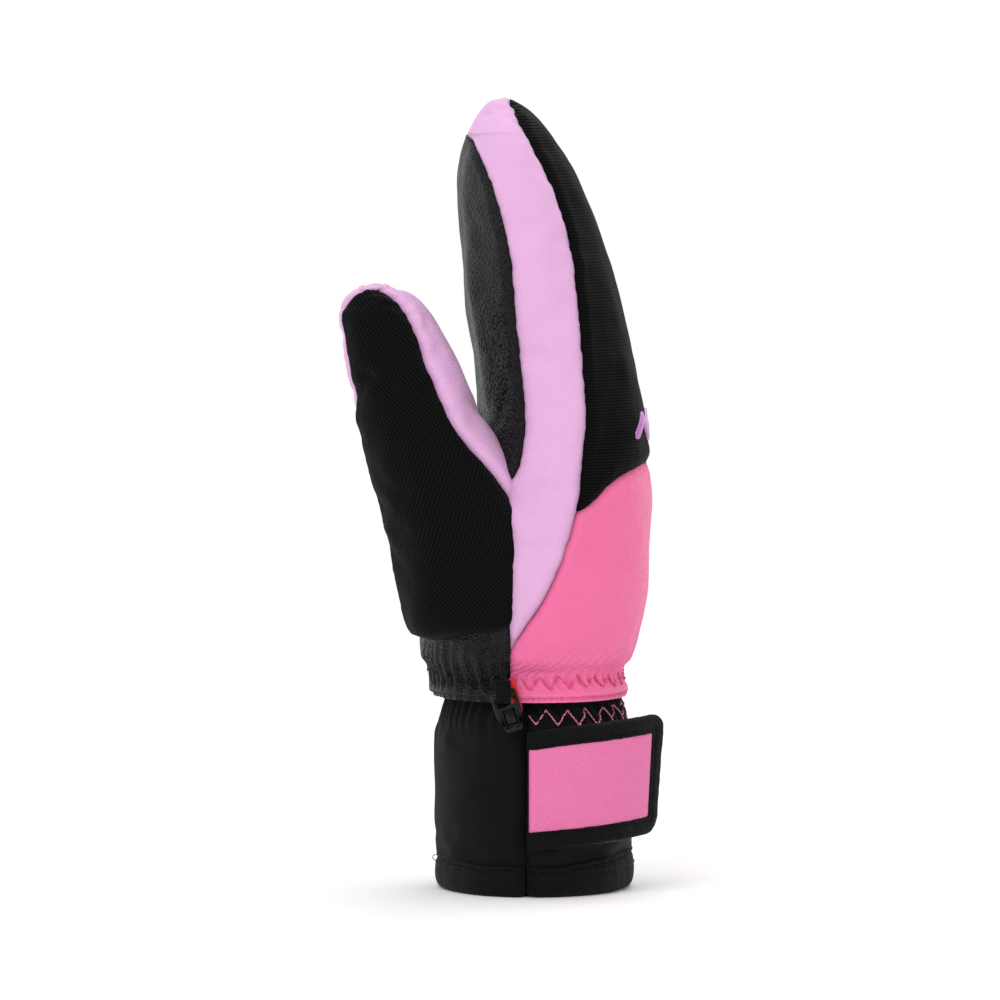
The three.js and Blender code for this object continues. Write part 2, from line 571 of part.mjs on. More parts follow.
// The springy tongue closes the window, with its free end behind the nose.
function clipTongue() {
  const { width, thickness, height, lift } = CLIP_TONGUE;
  return box(width, thickness, height, 0, lift, CLIP_WINDOW.centre);
}

// The tape is a closed loop round the clip's top bar. Its straight sides run up to the seam.
function hangingTape() {
  const lower = steps(180, 360, 6).map((turn) => [degToRad(turn), 0]);
  const upper = steps(0, 180, 6).map((turn) => [degToRad(turn), TAPE_RISE]);
  const path = [...lower, ...upper, lower[0]];
  const place = ([turn, lift], x, depth) => {
    const radius = TAPE_INSIDE + TAPE_THICKNESS - depth;
    return new THREE.Vector3(x, radius * Math.cos(turn), radius * Math.sin(turn) + lift);
  };
  return sheet(path, [-TAPE_WIDTH / 2, TAPE_WIDTH / 2], [0, TAPE_THICKNESS], place, true);
}

const clip = new THREE.Group();
clip.position.copy(CLIP_AXIS);
clip.rotation.y = -CLIP_LEAN;
mitten.add(clip);
addPiece('clip_frame', clipFrame(), clipPlastic, clip);
addPiece('clip_tongue', clipTongue(), clipPlastic, clip);
addPiece('clip_tape', hangingTape(), tape, clip);

// The side tab is a short ribbon that hangs out of the seam beside the clip.
function sideTab() {
  const place = (u, v, depth) => {
    const point = TAB_TOP.clone().addScaledVector(TAB_DROP, v);
    point.x += depth;
    point.y -= TAB_WIDTH * u;
    return point;
  };
  return sheet([0, 0.5, 1], steps(0, 1, 4), [0, TAB_THICKNESS], place);
}
addPiece('side_tab', sideTab(), labelRed);

// Brings the middle of the bounding box over the origin.
const TO_MIDDLE = new THREE.Vector3(-0.2, 1.966, 0);
mitten.position.copy(TO_MIDDLE);

export default mitten;
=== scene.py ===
"""A child's ski mitten for the right hand, standing upright on its cuff.

The CAD frame gives the bodies, joints and sizes. This script makes what is seen: puffed fabric panels
that meet in sunken seams, gathers, stitches, bindings, linings and trims. Shapes are worked out in
millimetres and stored in metres. Unless a comment says otherwise, a length is in millimetres.
"""
import math

import bmesh
import bpy
import numpy as np
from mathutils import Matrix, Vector
from mathutils.bvhtree import BVHTree


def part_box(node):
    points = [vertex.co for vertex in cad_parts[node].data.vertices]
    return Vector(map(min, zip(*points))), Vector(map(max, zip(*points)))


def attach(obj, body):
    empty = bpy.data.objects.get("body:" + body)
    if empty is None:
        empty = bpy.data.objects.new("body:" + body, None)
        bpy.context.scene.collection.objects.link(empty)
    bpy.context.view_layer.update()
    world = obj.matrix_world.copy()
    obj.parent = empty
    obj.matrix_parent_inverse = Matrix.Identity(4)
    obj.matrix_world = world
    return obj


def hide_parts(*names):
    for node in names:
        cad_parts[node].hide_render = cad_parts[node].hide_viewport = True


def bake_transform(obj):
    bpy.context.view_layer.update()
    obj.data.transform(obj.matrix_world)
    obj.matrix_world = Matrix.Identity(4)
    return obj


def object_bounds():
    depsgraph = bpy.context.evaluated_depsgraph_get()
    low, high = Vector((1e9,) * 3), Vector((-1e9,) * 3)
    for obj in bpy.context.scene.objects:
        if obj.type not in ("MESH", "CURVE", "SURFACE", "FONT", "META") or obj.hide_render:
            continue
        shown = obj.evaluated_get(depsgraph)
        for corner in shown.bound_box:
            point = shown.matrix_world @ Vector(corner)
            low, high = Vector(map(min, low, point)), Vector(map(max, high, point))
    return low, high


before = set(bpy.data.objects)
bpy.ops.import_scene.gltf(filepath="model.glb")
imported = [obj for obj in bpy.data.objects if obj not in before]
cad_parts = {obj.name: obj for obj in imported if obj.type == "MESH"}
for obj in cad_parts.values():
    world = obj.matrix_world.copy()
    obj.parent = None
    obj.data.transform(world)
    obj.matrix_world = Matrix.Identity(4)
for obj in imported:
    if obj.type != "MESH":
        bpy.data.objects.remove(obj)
cad_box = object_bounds()

MM = 0.001

# ---- Forms: the hand, the thumb, the cuff and the strap, as in the CAD model ----

CUFF_CENTRE = np.array([10.0, 0.0])
CUFF_STEP = 10.0  # rise from one value of CUFF_HALF to the next
CUFF_HALF = [29.2, 29.6, 30, 30, 30, 29.2, 26.1, 25.9]
CUFF_OVAL = 34 / 30
CUFF_SEAM = 93.8  # degrees from +x to the seam at the front; the other one mirrors it

hem_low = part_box("hem_binding_palm")[0]
hem_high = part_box("hem_binding_back")[1]
OFFSET = np.array([
    (hem_low[0] + hem_high[0]) / 2 / MM - CUFF_CENTRE[0],
    (hem_low[1] + hem_high[1]) / 2 / MM - CUFF_CENTRE[1],
    0.0,
])


def through(values, t):
    """A smooth curve through equally spaced values, or points, at the places t."""
    values, t = np.asarray(values, float), np.asarray(t, float)
    last = len(values) - 1
    i = np.clip(np.floor(t).astype(int), 0, last - 1)
    f = t - i
    a, b, c, d = (values[np.clip(i + step, 0, last)] for step in (-1, 0, 1, 2))
    if values.ndim > 1:
        f = f[..., None]
    return b + f / 2 * (c - a + f * (2 * a - 5 * b + 4 * c - d + f * (3 * (b - c) + d - a)))


def smooth(low, high, value):
    """0 below low, 1 above high, and an even ease between them."""
    f = np.clip((value - low) / (high - low), 0, 1)
    return f * f * (3 - 2 * f)


class Form:
    """A closed shape. t runs along it, and columns run round it and follow its seams."""

    def __init__(self, low, high, middle, half, squareness, spine_end, columns, seams):
        self.low, self.high, self.middle, self.half = low, high, middle, half
        self.power = 2 / squareness
        self.spine_end = spine_end
        self.edges = np.concatenate([[0], np.cumsum(columns)])
        self.seams = seams

    def turn(self, column, t):
        seams = self.seams(t)
        i = np.clip(np.searchsorted(self.edges, column, side="right") - 1, 0, len(self.edges) - 2)
        f = (column - self.edges[i]) / (self.edges[i + 1] - self.edges[i])
        here = np.take_along_axis(seams, i[None], 0)[0]
        there = np.take_along_axis(seams, i[None] + 1, 0)[0]
        return here + f * (there - here)

    def spine(self, t):
        t = np.minimum(t, self.spine_end)
        low, high = through(self.low, t), through(self.high, t)
        return np.stack([(low + high)[..., 0] / 2, through(self.middle, t), (low + high)[..., 1] / 2], -1)

    def at(self, t, turn, depth=0.0):
        low, high = through(self.low, t), through(self.high, t)
        along = np.sign(np.cos(turn)) * np.abs(np.cos(turn)) ** self.power
        across = np.sign(np.sin(turn)) * np.abs(np.sin(turn)) ** self.power
        f = ((1 + along) / 2)[..., None]
        edge = low + f * (high - low)
        y = through(self.middle, t) - across * np.maximum(through(self.half, t), 0)
        point = np.stack([edge[..., 0], y, edge[..., 1]], -1)
        inward = self.spine(t) - point
        inward /= np.linalg.norm(inward, axis=-1, keepdims=True)
        return point + inward * np.asarray(depth)[..., None] + OFFSET


# Where the seams lie across the hand, from -1 at the palm to 1 at the back. Past 1 they meet at the tip.
PALM_SEAMS = [
    -0.24, -0.18, -0.18, -0.26, -0.33, -0.4, -0.47, -0.47, -0.4, -0.38, -0.46, -0.8, -1.3, -1.3, -1.3,
]
BACK_SEAMS = [-0.24, -0.18, -0.18, 0.06, 0.23, 0.28, 0.3, 0.37, 0.48, 0.58, 0.62, 0.575, 0.56, 0.78, 1.3]
HAND_SQUARENESS = 2.3
WEB_REACH, WEB_PLACE, WEB_SPAN = 0.16, 4.75, 0.42  # the gusset widens to meet the thumb's strip


def hand_seams(t):
    """Where the hand's columns change: near back and palm seams, then the far ones, as turns."""
    palm, back = (
        np.arccos(np.sign(c) * np.abs(c) ** (HAND_SQUARENESS / 2))
        for c in (np.clip(through(seam, t), -1, 1) for seam in (PALM_SEAMS, BACK_SEAMS))
    )
    back = np.minimum(back, palm)
    whole = np.full_like(palm, 2 * math.pi)
    webbed = palm + WEB_REACH * np.exp(-(((t - WEB_PLACE) / WEB_SPAN) ** 2))
    return np.stack([0 * palm, back, webbed, whole - palm, whole - back, whole])


HAND = Form(
    low=[
        [-19.5, 58.5], [-21.9, 65], [-24, 74], [-21.6, 89.4], [-18, 105.9],
        [-12.9, 123.9], [-6.6, 141.9], [-6.9, 159], [-9.6, 176.4], [-10.8, 194.4],
        [-12.1, 211], [-10.9, 224.4], [-7.3, 232.8], [-4.2, 237.6], [1.5, 239.9],
    ],
    high=[
        [38.7, 58.5], [38.4, 65], [41.4, 73.5], [44.1, 89.4], [44.9, 105.9],
        [45.3, 122.4], [43.8, 140.4], [40.5, 157.8], [36.3, 175.8], [31.1, 193.8],
        [24.6, 210.3], [16.9, 224.4], [9.6, 234], [4.5, 238.2], [1.5, 239.9],
    ],
    middle=[0] * 15,
    half=[34.5, 33.5, 36.5, 41, 43.5, 45, 46, 46, 45.5, 44, 40.5, 34, 25, 14.5, 0],
    squareness=HAND_SQUARENESS,
    spine_end=10.6,
    columns=(4, 4, 8, 4, 4),
    seams=hand_seams,
)
# Places t along the hand.
TIP = 14.0
PALM_TOP = 11.4
BACK_TOP = 13.42
GUSSET_START = 2.03
LINED_FROM = 1.4
# Columns round the hand.
BACK_SEAM, PALM_SEAM, HAND_COLUMNS = 4, 8, 24
BACK_SEAM_ROWS = [5.35, 5.35, 5.27, 5.05, 4.57]

THUMB_SEAMS = {  # degrees round the thumb
    "near_right": [15, 15, 20, 45, 56, 63, 58, 57, 64, 90],
    "near_left": [185, 185, 185, 185, 183, 176, 171, 170, 146, 90],
    "far_left": [185, 185, 185, 185, 186, 195, 202, 204, 223, 270],
    "far_right": [345, 345, 340, 315, 304, 297, 302, 303, 296, 270],
}


def thumb_seams(t):
    turns = {name: np.radians(through(seam, t)) for name, seam in THUMB_SEAMS.items()}
    return np.stack([turns["far_right"] - 2 * math.pi, *(turns[name] for name in THUMB_SEAMS)])


THUMB = Form(
    low=[
        [-19, 74.5], [-27.6, 80.5], [-32.9, 98.4], [-37.5, 116.4], [-42.1, 134.4],
        [-45.2, 150.9], [-47.7, 165.9], [-48.6, 174.9], [-45, 181.5], [-37.2, 184.6],
    ],
    high=[
        [13, 78], [11.5, 87], [12, 107], [7, 127], [-4.2, 143.4],
        [-11.1, 159.3], [-17.7, 171.6], [-23.4, 179.4], [-30, 183.3], [-37.2, 184.6],
    ],
    middle=[-8, -20, -24, -27.5, -30.5, -32, -33, -33.5, -34, -34],
    half=[17, 20, 21, 21, 19.5, 18, 16, 13, 8, 0],
    squareness=2.3,
    spine_end=6.6,
    columns=(4, 5, 3, 5),
    seams=thumb_seams,
)
THUMB_TIP = 9.0
THUMB_PANEL_TOP = 8.5
THUMB_STRIP_START = 3.6
THUMB_NEAR_RIGHT, THUMB_NEAR_LEFT, THUMB_FAR_LEFT, THUMB_COLUMNS = 4, 9, 12, 17


def on_cuff(z, turn, depth=0.0):
    """A point at a height and a turn, at a depth under the cuff's outside."""
    half = through(CUFF_HALF, np.asarray(z, float) / CUFF_STEP)
    x = CUFF_CENTRE[0] + (half - depth) * np.cos(turn)
    y = CUFF_CENTRE[1] - (half * CUFF_OVAL - depth) * np.sin(turn)
    return np.stack([x, y, np.broadcast_to(z, x.shape)], -1) + OFFSET


STRAP_HALF_HEIGHT = 18.1
STRAP_CENTRE = 34.2
STRAP_RISE = 3.4
STRAP_TURNS = (93, 16)  # degrees round the cuff, from the sewn end to the free end
STRAP_CORNER = 5.0
STRAP_LENGTH = 49.0
STRAP_LEAN = 0.07  # the free end leans out at its top
STRAP_LIFT, STRAP_SLACK, STRAP_CURL = 1.9, 1.2, 5.9  # off the cuff: everywhere, along it, at its free end


def on_strap(s, height, depth=0.0):
    """The wrist strap's middle surface. s runs from its sewn end to its free end, from 0 to 1."""
    turn = np.radians(STRAP_TURNS[0] + (STRAP_TURNS[1] - STRAP_TURNS[0]) * s)
    lean = STRAP_LEAN * height * s * s
    lift = STRAP_LIFT + STRAP_SLACK * s + STRAP_CURL * s * s
    point = on_cuff(np.full(np.shape(s), STRAP_CENTRE), turn, depth - lift - lean)
    point[..., 2] = STRAP_CENTRE + STRAP_RISE * (s - 0.5) + height
    return point


# ---- Small tools ----

RIPPLE_WAVES = 10


def ripple(points, wavelength, seed):
    """Smooth random hills over the points, between about -1 and 1."""
    rng = np.random.default_rng(seed)
    total = np.zeros(points.shape[:-1])
    for _ in range(RIPPLE_WAVES):
        direction = rng.normal(size=3)
        direction /= np.linalg.norm(direction) * wavelength * rng.uniform(0.7, 1.5)
        total += np.sin(2 * math.pi * points @ direction + rng.uniform(0, 2 * math.pi))
    return total / RIPPLE_WAVES * 1.6


def ridges(points, wavelength, seed):
    """Smooth random creases: 0 in the open, up to 1 along thin lines."""
    return np.exp(-((ripple(points, wavelength, seed) / 0.16) ** 2))


def lengths(points, axis):
    """Distance along one axis of a grid of points, from its first line."""
    step = np.linalg.norm(np.diff(points, axis=axis), axis=-1)
    start = np.zeros_like(np.take(step, [0], axis=axis))
    return np.concatenate([start, np.cumsum(step, axis=axis)], axis=axis)


def normals(points, centre):
    """Unit normals of a grid of points, away from centre."""
    along = np.gradient(points, axis=0)
    across = np.gradient(points, axis=1)
    normal = np.cross(along, across)
    size = np.linalg.norm(normal, axis=-1, keepdims=True)
    outward = points - centre
    outward /= np.linalg.norm(outward, axis=-1, keepdims=True) + 1e-9
    normal = np.where(size > 1e-7, normal / np.maximum(size, 1e-7), outward)
    flip = np.sign(np.sum(np.sum(normal * outward, axis=-1)))
    normal = normal * (flip or 1)
    weak = np.sum(normal * outward, axis=-1, keepdims=True) < -0.2
    return np.where(weak, outward, normal)


def new_object(name, vertices, faces, material, uvs=None, painted_shade=None):
    """A mesh object in metres, from points in millimetres."""
    mesh = bpy.data.meshes.new(name)
    mesh.from_pydata((np.asarray(vertices) * MM).tolist(), [], faces)
    if uvs is not None:
        layer = mesh.uv_layers.new(name="cloth")
        corner = np.empty(len(mesh.loops), np.int32)
        mesh.loops.foreach_get("vertex_index", corner)
        layer.data.foreach_set("uv", (np.asarray(uvs)[corner] * MM).astype(np.float32).ravel())
    # Painted shade for seams and folds, kept on the mesh for the material.
    if painted_shade is not None:
        attribute = mesh.attributes.new("painted_shade", "FLOAT", "POINT")
        attribute.data.foreach_set("value", np.asarray(painted_shade, np.float32))
    mesh.validate()
    mesh.polygons.foreach_set("use_smooth", [True] * len(mesh.polygons))
    mesh.materials.append(material)
    obj = bpy.data.objects.new(name, mesh)
    bpy.context.scene.collection.objects.link(obj)
    return obj


def grid_faces(rows, columns, start=0, wrap=False):
    """Quads over a grid of numbered points."""
    faces = []
    for j in range(rows - 1):
        for i in range(columns if wrap else columns - 1):
            a, b = start + j * columns + i, start + j * columns + (i + 1) % columns
            faces.append((a, b, b + columns, a + columns))
    return faces


WELD = 0.02


def weld(obj):
    """Joins points that lie together, and turns every face outwards."""
    mesh = bmesh.new()
    mesh.from_mesh(obj.data)
    bmesh.ops.remove_doubles(mesh, verts=mesh.verts, dist=WELD * MM)
    bmesh.ops.dissolve_degenerate(mesh, edges=mesh.edges, dist=WELD * MM / 4)
    bmesh.ops.recalc_face_normals(mesh, faces=mesh.faces)
    mesh.to_mesh(obj.data)
    mesh.free()
    obj.data.polygons.foreach_set("use_smooth", [True] * len(obj.data.polygons))
    return obj


# ---- Materials ----

def linear(red, green, blue):
    """A shader colour from an 8-bit one."""
    shares = (v / 255 for v in (red, green, blue))
    return tuple(((v + 0.055) / 1.055) ** 2.4 if v > 0.04045 else v / 12.92 for v in shares) + (1.0,)


class Shader:
    """A Principled material, with short calls for the nodes that drive it."""

    def __init__(self, name, roughness, slot, **fixed):
        self.material = bpy.data.materials.new(name)
        self.material.use_nodes = True
        self.tree = self.material.node_tree
        self.surface = self.tree.nodes["Principled BSDF"]
        self.surface.inputs["Roughness"].default_value = roughness
        for socket, value in fixed.items():
            self.surface.inputs[socket.replace("_", " ")].default_value = value
        self.material["slot"] = slot

    def node(self, kind, output=0, settings=None, **inputs):
        node = self.tree.nodes.new("ShaderNode" + kind)
        for key, value in (settings or {}).items():
            setattr(node, key, value)
        for key, value in inputs.items():
            socket = node.inputs[int(key[1:])] if key[0] == "i" and key[1:].isdigit() else node.inputs[key]
            if isinstance(value, bpy.types.NodeSocket):
                self.tree.links.new(value, socket)
            else:
                socket.default_value = value
        return node.outputs[output]

    def math(self, operation, a, b=0.0, c=0.0):
        return self.node("Math", settings={"operation": operation}, i0=a, i1=b, i2=c)

    def place(self):
        """Position along the cloth, in metres."""
        return self.node("UVMap", settings={"uv_map": "cloth"})

    def noise(self, size, detail=2.0, where=None):
        """Random cloud from 0 to 1 with features of the given size in millimetres."""
        if where is None:
            where = self.node("TexCoord", output=3)
        return self.node("TexNoise", Vector=where, Scale=1 / (size * MM), Detail=detail)

    def mix(self, factor, a, b, blend="MIX"):
        settings = {"data_type": "RGBA", "blend_type": blend}
        return self.node("Mix", output=2, settings=settings, i0=factor, i6=a, i7=b)

    def wave(self, size, angle=0.0):
        """Even ridges from 0 to 1, one for each step of size millimetres, turned by angle degrees."""
        about_z = {"rotation_type": "Z_AXIS"}
        turned = self.node("VectorRotate", settings=about_z, Vector=self.place(), Angle=math.radians(angle))
        across = self.node("SeparateXYZ", Vector=turned)
        phase = self.math("MULTIPLY", across, 2 * math.pi / (size * MM))
        return self.math("MULTIPLY_ADD", self.math("SINE", phase), 0.5, 0.5)

    def colour(self, base, spread=0.06, patch=9.0, painted_shade=0.45, weave=None, weave_depth=0.25):
        """The base colour in soft patches, with painted shade where the cloth dives into a seam or fold, and
        darker between the threads.
        """
        base = np.array(base)
        darker = tuple(base[:3] * (1 - spread)) + (1.0,)
        lighter = tuple(np.minimum(base[:3] * (1 + spread), 1)) + (1.0,)
        result = self.mix(self.noise(patch), darker, lighter)
        if weave is not None:
            between = self.math("MULTIPLY_ADD", weave, -weave_depth, weave_depth)
            result = self.mix(between, result, (0, 0, 0, 1), "MULTIPLY")
        # Painted shade: the mask stored on the mesh darkens the colour where the cloth dives into seams and
        # folds.
        if painted_shade:
            line = self.node("Attribute", output=2, settings={"attribute_name": "painted_shade"})
            shadow = tuple(base[:3] * 0.25) + (1.0,)
            result = self.mix(self.math("MULTIPLY", line, painted_shade), result, shadow, "MULTIPLY")
        self.tree.links.new(result, self.surface.inputs["Base Color"])
        return self

    def rough(self, low, high, size=3.0):
        """Roughness that changes a little over the surface."""
        value = self.math("MULTIPLY_ADD", self.noise(size, detail=3.0), high - low, low)
        self.tree.links.new(value, self.surface.inputs["Roughness"])
        return self

    def bump(self, *layers):
        """Layers of (height from 0 to 1, depth in millimetres)."""
        normal = None
        for height, depth in layers:
            inputs = {"Height": height, "Distance": depth * MM, "Strength": 1.0}
            if normal is not None:
                inputs["Normal"] = normal
            normal = self.node("Bump", **inputs)
        self.tree.links.new(normal, self.surface.inputs["Normal"])
        return self


def woven(
    name, slot, colour, weave_size, pattern, depth, weave_depth, roughness=0.72, sheen=0.2, angle=38,
    gloss=0.25, **look,
):
    """A woven cloth. pattern is plain, rib, diamond or twill, and angle is the twill's, in degrees."""
    shader = Shader(name, roughness, slot, Sheen_Weight=sheen, Sheen_Roughness=0.4, Specular_IOR_Level=gloss)
    if pattern == "plain":
        weave = shader.math("MULTIPLY", shader.wave(weave_size), shader.wave(weave_size, 90))
    elif pattern == "rib":
        dots = shader.math("MULTIPLY_ADD", shader.wave(weave_size * 1.3), 0.45, 0.55)
        weave = shader.math("MULTIPLY", shader.wave(weave_size, 90), dots)
    elif pattern == "diamond":
        weave = shader.math("MULTIPLY", shader.wave(weave_size, 40), shader.wave(weave_size, -40))
    else:
        fine = shader.math("MULTIPLY_ADD", shader.wave(weave_size * 0.8, 90), 0.3, 0.7)
        weave = shader.math("MULTIPLY", shader.wave(weave_size, angle), fine)
    shader.colour(linear(*colour), weave=weave, weave_depth=weave_depth, **look)
    shader.rough(roughness - 0.06, roughness + 0.08)
    shader.bump((shader.noise(1.4, detail=3.0), 0.05), (weave, depth))
    return shader.material


PEBBLE, PEBBLE_STRETCH = 0.85, (1.0, 0.7, 1.0)


def leather(name, slot, colour):
    """Grained synthetic leather: small rounded pebbles with a soft gloss."""
    shader = Shader(name, 0.4, slot, Specular_IOR_Level=0.22)
    coordinate = shader.node("TexCoord", output=3)
    where = shader.node("VectorMath", settings={"operation": "MULTIPLY"}, i0=coordinate, i1=PEBBLE_STRETCH)
    bend = shader.node("TexNoise", output=1, Vector=where, Scale=420.0)
    add = {"operation": "MULTIPLY_ADD"}
    bent = shader.node("VectorMath", settings=add, i0=bend, i1=(0.5 * MM,) * 3, i2=where)
    rounded = {"feature": "SMOOTH_F1"}
    cells = shader.node("TexVoronoi", settings=rounded, Vector=bent, Scale=1 / (PEBBLE * MM), Smoothness=0.3)
    pebble = shader.math("MULTIPLY_ADD", cells, -2.0, 1.25)
    height = shader.node("Clamp", Value=pebble)
    shader.colour(linear(*colour), spread=0.16, patch=14.0, painted_shade=0.6, weave=height, weave_depth=0.85)
    shader.rough(0.34, 0.52, size=2.2)
    shader.bump((shader.noise(2.6, detail=4.0), 0.12), (height, 0.55))
    return shader.material


def knit(name, slot, colour):
    """Smooth stretch cloth with a very fine rib."""
    shader = Shader(name, 0.85, slot, Sheen_Weight=0.03, Sheen_Roughness=0.5, Specular_IOR_Level=0.1)
    cross = shader.math("MULTIPLY_ADD", shader.wave(0.55, 90), 0.5, 0.5)
    weave = shader.math("MULTIPLY", shader.wave(0.7), cross)
    shader.colour(linear(*colour), spread=0.1, weave=weave, weave_depth=0.3)
    shader.bump((shader.noise(3.0, detail=3.0), 0.06), (weave, 0.07))
    return shader.material


def brushed(name, slot, colour, depth, size):
    """Fleece or wadding: soft tangled fibre."""
    shader = Shader(name, 0.95, slot, Sheen_Weight=0.6, Sheen_Roughness=0.6, Specular_IOR_Level=0.2)
    shader.colour(linear(*colour), spread=0.2, patch=2.0, painted_shade=0)
    shader.bump((shader.noise(size, detail=5.0), depth), (shader.noise(size * 5, detail=2.0), depth * 1.5))
    return shader.material


def moulded(name, slot, colour, roughness, **fixed):
    """Moulded plastic with the faint unevenness of the tool."""
    shader = Shader(name, roughness, slot, **fixed)
    shader.colour(linear(*colour), spread=0.05, patch=5.0, painted_shade=0)
    shader.rough(roughness * 0.8, roughness * 1.3, size=1.5)
    shader.bump((shader.noise(0.8, detail=4.0), 0.02))
    return shader.material


def thread(name, slot, colour):
    """Twisted thread."""
    shader = Shader(name, 0.45, slot, Specular_IOR_Level=0.15)
    twist = shader.wave(0.42, 30)
    shader.colour(linear(*colour), spread=0.06, painted_shade=0, weave=twist, weave_depth=0.35)
    shader.bump((twist, 0.05))
    return shader.material


LILAC = woven(
    "lilac_cloth", "lilac_cloth", (231, 179, 223), 0.62, "plain", 0.07, 0.12, spread=0.03,
)
PINK = woven(
    "pink_cloth", "pink_cloth", (250, 118, 170), 0.66, "plain", 0.08, 0.16, spread=0.035,
)
BLACK_RIB = woven(
    "black_rib_cloth", "black_cloth", (20, 20, 22), 0.9, "rib", 0.26, 0.95,
    spread=0.15, gloss=0.05, sheen=0.02,
)
BLACK_OXFORD = woven(
    "black_oxford_cloth", "black_cloth", (24, 26, 26), 1.05, "diamond", 0.26, 0.95,
    spread=0.15, gloss=0.06, sheen=0.02,
)
BLACK_NYLON = woven(
    "black_nylon", "black_cloth", (15, 16, 17), 0.5, "plain", 0.08, 0.4,
    roughness=0.6, gloss=0.1, sheen=0.05,
)
LEATHER = leather("grained_leather", "palm_leather", (30, 31, 35))
CUFF_KNIT = knit("cuff_knit", "cuff_cloth", (15, 15, 16))
TWILL = woven(
    "black_twill_tape", "tape", (17, 18, 19), 0.85, "twill", 0.22, 0.75,
    roughness=0.75, gloss=0.1, sheen=0.05,
)
WEBBING = woven(
    "black_webbing", "tape", (12, 12, 13), 0.8, "twill", 0.2, 0.6,
    roughness=0.75, gloss=0.1, sheen=0.03,
)
STRAP_PINK = woven(
    "pink_strap_twill", "strap_cloth", (240, 124, 178), 0.78, "twill", 0.14, 0.2,
    roughness=0.6, spread=0.03, angle=-63,
)
WADDING = brushed("white_wadding", "wadding", (240, 238, 232), 0.9, 1.6)
FLEECE = brushed("dark_fleece", "fleece", (52, 52, 58), 0.6, 0.9)
ELASTIC = woven("white_elastic", "elastic", (222, 220, 214), 0.9, "rib", 0.3, 0.3)
TAB_RED = woven("red_ribbon", "tab_red", (226, 40, 36), 0.45, "plain", 0.06, 0.2)
LABEL = woven("grey_label_satin", "label_grey", (206, 206, 204), 0.4, "plain", 0.04, 0.1, roughness=0.5)
CLIP_BLACK = moulded("clip_plastic", "clip_plastic", (5, 5, 6), 0.12, Specular_IOR_Level=0.25)
EMBLEM = moulded("emblem_film", "emblem_foil", (176, 116, 176), 0.28, Metallic=0.6)
HOOKS = brushed("hook_tape", "tape", (20, 20, 22), 0.5, 0.7)
THREAD_PINK = thread("pink_thread", "pink_cloth", (238, 104, 152))
THREAD_HOT_PINK = thread("bright_pink_thread", "pink_cloth", (255, 148, 196))
THREAD_BLACK = thread("black_thread", "tape", (22, 23, 27))


def finish_piece(obj, body, nodes=(), across=None, fill=None):
    """Hangs a piece on the body it rides on, or leaves it where it lies when it spans two, and hides the CAD
    parts that it stands for.

    across is (body_a, body_b, start, end) for a piece that bends, and fill is not used.
    """
    if across:
        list(across)
        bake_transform(obj)
    else:
        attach(obj, body)
    if nodes:
        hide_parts(*nodes)
    return obj


# ---- Cloth simulation: how each padded form swells between its seams ----

class Puff:
    """How far the cloth of a form moves, over a grid of turns and places along it."""

    def __init__(self, t_range, moved):
        self.t_range, self.moved = t_range, moved

    def at(self, t, turn):
        rows, columns = self.moved.shape[:2]
        a = np.clip((t - self.t_range[0]) / (self.t_range[1] - self.t_range[0]), 0, 1) * (rows - 1)
        b = (turn / (2 * math.pi) % 1) * columns
        i, j = np.floor(a).astype(int), np.floor(b).astype(int)
        total = 0
        for di, wi in zip((-1, 0, 1, 2), spline_weights(a - i)):
            row = np.clip(i + di, 0, rows - 1)
            for dj, wj in zip((-1, 0, 1, 2), spline_weights(b - j)):
                total = total + (wi * wj)[..., None] * self.moved[row, (j + dj) % columns]
        return total


def spline_weights(f):
    return ((1 - f) ** 3 / 6, (3 * f**3 - 6 * f**2 + 4) / 6, (-3 * f**3 + 3 * f**2 + 3 * f + 1) / 6, f**3 / 6)


def tube_grid(t_range, rows, columns):
    """Places along a form and turns round it, for a tube of cloth."""
    turns = np.arange(columns) / columns * 2 * math.pi
    return np.meshgrid(np.linspace(*t_range, rows), turns, indexing="ij")


SWELL_FRAMES = 18
SWELL_SCALE = 10.0  # the tube is simulated this much larger, as cloth settings suit objects of about a metre


def cloth_settings(obj, growth, pressure):
    """Light, fairly stiff cloth that is blown up and held by its sewn points."""
    cloth = obj.modifiers.new("cloth", "CLOTH")
    settings = cloth.settings
    settings.quality = 6
    settings.mass = 0.3
    settings.tension_stiffness = settings.compression_stiffness = 20
    settings.shear_stiffness = 8
    settings.bending_stiffness = 0.6
    settings.use_pressure = True
    settings.uniform_pressure_force = pressure
    settings.shrink_min = -growth
    settings.vertex_group_mass = "sewn"
    settings.pin_stiffness = 1.5
    settings.effector_weights.gravity = 0
    cloth.point_cache.frame_end = SWELL_FRAMES


